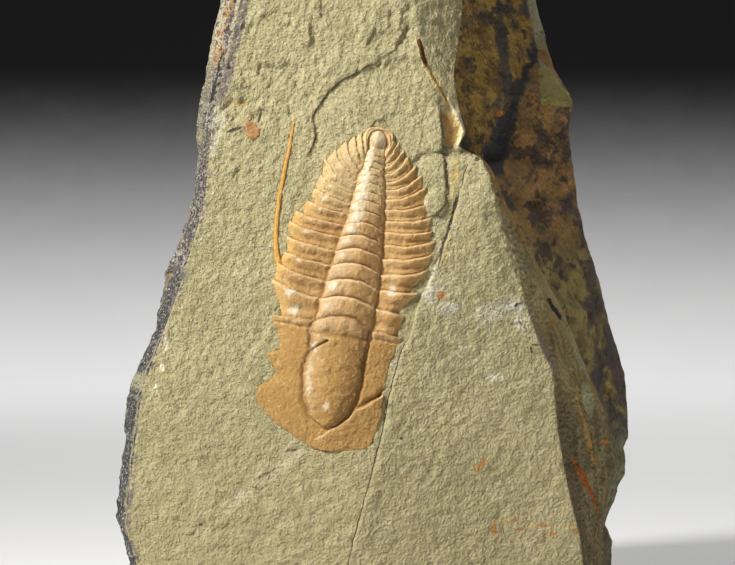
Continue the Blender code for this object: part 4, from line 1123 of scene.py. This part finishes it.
# The scrap of shell: a small curved brown piece of another animal's shell, lying in the bedding face to
# the upper left of the tail.
SCRAP_AT = (-18.5, 73.2)
SCRAP_OUTLINE = [(-1.45, 1.95), (-0.35, 1.35), (0.95, 0.55), (1.25, -0.7), (0.75, -1.5), (-0.35, -1.35),
                 (-0.95, 0.2)]
SCRAP_RISE = 0.34
SCRAP_SIDES = 96
corner_angles = [math.atan2(dz, dx) for dx, dz in SCRAP_OUTLINE]
corner_radii = [math.hypot(dx, dz) for dx, dz in SCRAP_OUTLINE]
bearing = np.linspace(-math.pi, math.pi, SCRAP_SIDES + 1)[:-1]
edge = np.interp(bearing, corner_angles, corner_radii, period=2 * math.pi)
edge = edge * (1 + 0.05 * np.sin(7 * bearing) + 0.03 * np.sin(17 * bearing))
shares = np.array([1, 0.97, 0.9, 0.78, 0.62, 0.45, 0.28, 0.12])[:, None]
ring_out, ring_up = edge * shares * np.cos(bearing), edge * shares * np.sin(bearing)
scrap_x, scrap_z = SCRAP_AT[0] + ring_out, SCRAP_AT[1] + ring_up
lifted = SCRAP_RISE * (1 - shares ** 6) * (0.8 + 0.25 * ring_out - 0.1 * ring_up)
lifted += 0.06 * rough(scrap_x, 0, scrap_z, 0.7, 95)
scrap_top = to_world(scrap_x, 0.05 - lifted, scrap_z).reshape(-1, 3)
scrap_below = to_world(scrap_x[0], np.full(SCRAP_SIDES, 0.6), scrap_z[0])
crest = to_world(np.array([SCRAP_AT[0]]), np.array([0.05 - 0.85 * SCRAP_RISE]), np.array([SCRAP_AT[1]]))
scrap_faces = between_rows(len(shares), SCRAP_SIDES)
inmost, lower = (len(shares) - 1) * SCRAP_SIDES, len(shares) * SCRAP_SIDES
around = [(c, (c + 1) % SCRAP_SIDES) for c in range(SCRAP_SIDES)]
scrap_faces += [(inmost + c, inmost + beside, lower + SCRAP_SIDES) for c, beside in around]
scrap_faces += [(beside, c, lower + c, lower + beside) for c, beside in around]
scrap_faces.append([lower + c for c in range(SCRAP_SIDES)][::-1])
scrap = make_piece("shell_scrap", np.vstack((scrap_top, scrap_below, crest)), scrap_faces)
scrap_finish = new_finish("brown_shell")
colour = layer(patches(1.2, 91, 0.35, 0.65), (0.27, 0.12, 0.035), (0.46, 0.25, 0.085))
coat(patches(0.3, 92, 0.58, 0.7, 0.7, detail=3), (0.62, 0.45, 0.22))
surface(0.6, 0.5, lumps(0.4, 93, detail=5), 0.08)
scrap.data.materials.append(scrap_finish)
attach(scrap, "root")
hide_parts("shell_fragment")

# The studio: a pale floor that sweeps up behind into a wall shaded darker towards its top, one soft
# main light from the upper left, a weak fill from the right, and a camera level with the fossil.
SWEEP_BACK = 1.5
SWEEP_RADIUS = 0.5
SWEEP_SIDE = 2.4
SWEEP_HEIGHT = 2.4
SWEEP_FRONT = -2
SWEEP_STEPS = 16
profile = [(SWEEP_FRONT, 0), (SWEEP_BACK - SWEEP_RADIUS, 0)]
for turn in np.linspace(0, math.pi / 2, SWEEP_STEPS + 1)[1:]:
    profile.append((SWEEP_BACK - SWEEP_RADIUS * (1 - math.sin(turn)), SWEEP_RADIUS * (1 - math.cos(turn))))
profile.append((SWEEP_BACK, SWEEP_HEIGHT))
sweep_points = np.array([(x, y, z) for y, z in profile for x in (-SWEEP_SIDE, SWEEP_SIDE)])
sweep_faces = [(2 * k, 2 * k + 1, 2 * k + 3, 2 * k + 2) for k in range(len(profile) - 1)]
sweep = make_piece("studio_sweep", sweep_points, sweep_faces)
paper = new_finish("studio_paper")
up = add("SeparateXYZ", {0: own_place()}, 2) + uneven(30, 99, 0.01)
# painted shade: the paper darkens towards the top of the wall
colour = layer(rise(up, -0.05, 0.19), (0.6, 0.6, 0.6), (0.0022, 0.0022, 0.0022))
surface(0.9, 0.1)
sweep.data.materials.append(paper)


def soft_light(name, place, aim, size, watts, spread=180, tint=(1, 1, 1)):
    lamp = bpy.data.lights.new(name, "AREA")
    lamp.shape = "DISK"
    lamp.size = size
    lamp.energy = watts
    lamp.color = tint
    lamp.spread = math.radians(spread)
    holder = bpy.data.objects.new(name, lamp)
    holder.location = place
    holder.rotation_euler = (Vector(aim) - Vector(place)).to_track_quat("-Z", "Y").to_euler()
    bpy.context.scene.collection.objects.link(holder)


soft_light("main_light", (-0.38, -0.32, 0.42), (0, -0.02, 0.05), 0.12, 0.7, 60, (1, 0.985, 0.95))
soft_light("fill_light", (0.9, -0.75, 0.35), (0, 0, 0.05), 0.9, 1.1, 180, (1, 0.94, 0.76))
soft_light("floor_light", (0, 0.95, 1.6), (-0.05, 0.9, 0), 1, 21, 130)
world = bpy.data.worlds.new("studio")
world.use_nodes = True
world.node_tree.nodes["Background"].inputs["Color"].default_value = (0.8, 0.78, 0.7, 1)
world.node_tree.nodes["Background"].inputs["Strength"].default_value = 0.045
bpy.context.scene.world = world

PIXELS_PER_MM = 6.5
PICTURE_WIDTH = 735
CAMERA_AWAY = 0.45
CAMERA_HEIGHT = 0.04977
AIM_PIXEL = 367.5
MIDLINE_PIXEL = 372.5
camera_data = bpy.data.cameras.new("camera")
camera_data.sensor_width = 36
camera_data.lens = camera_data.sensor_width * CAMERA_AWAY / (PICTURE_WIDTH / PIXELS_PER_MM * MM)
camera = bpy.data.objects.new("camera", camera_data)
camera.location = (((AIM_PIXEL - MIDLINE_PIXEL) / PIXELS_PER_MM - MIDDLE[0]) * MM,
                   -MIDDLE[1] * MM - CAMERA_AWAY, CAMERA_HEIGHT)
camera.rotation_euler = (math.radians(90), 0, 0)
bpy.context.scene.collection.objects.link(camera)
bpy.context.scene.camera = camera
bpy.context.scene.view_settings.view_transform = "Standard"
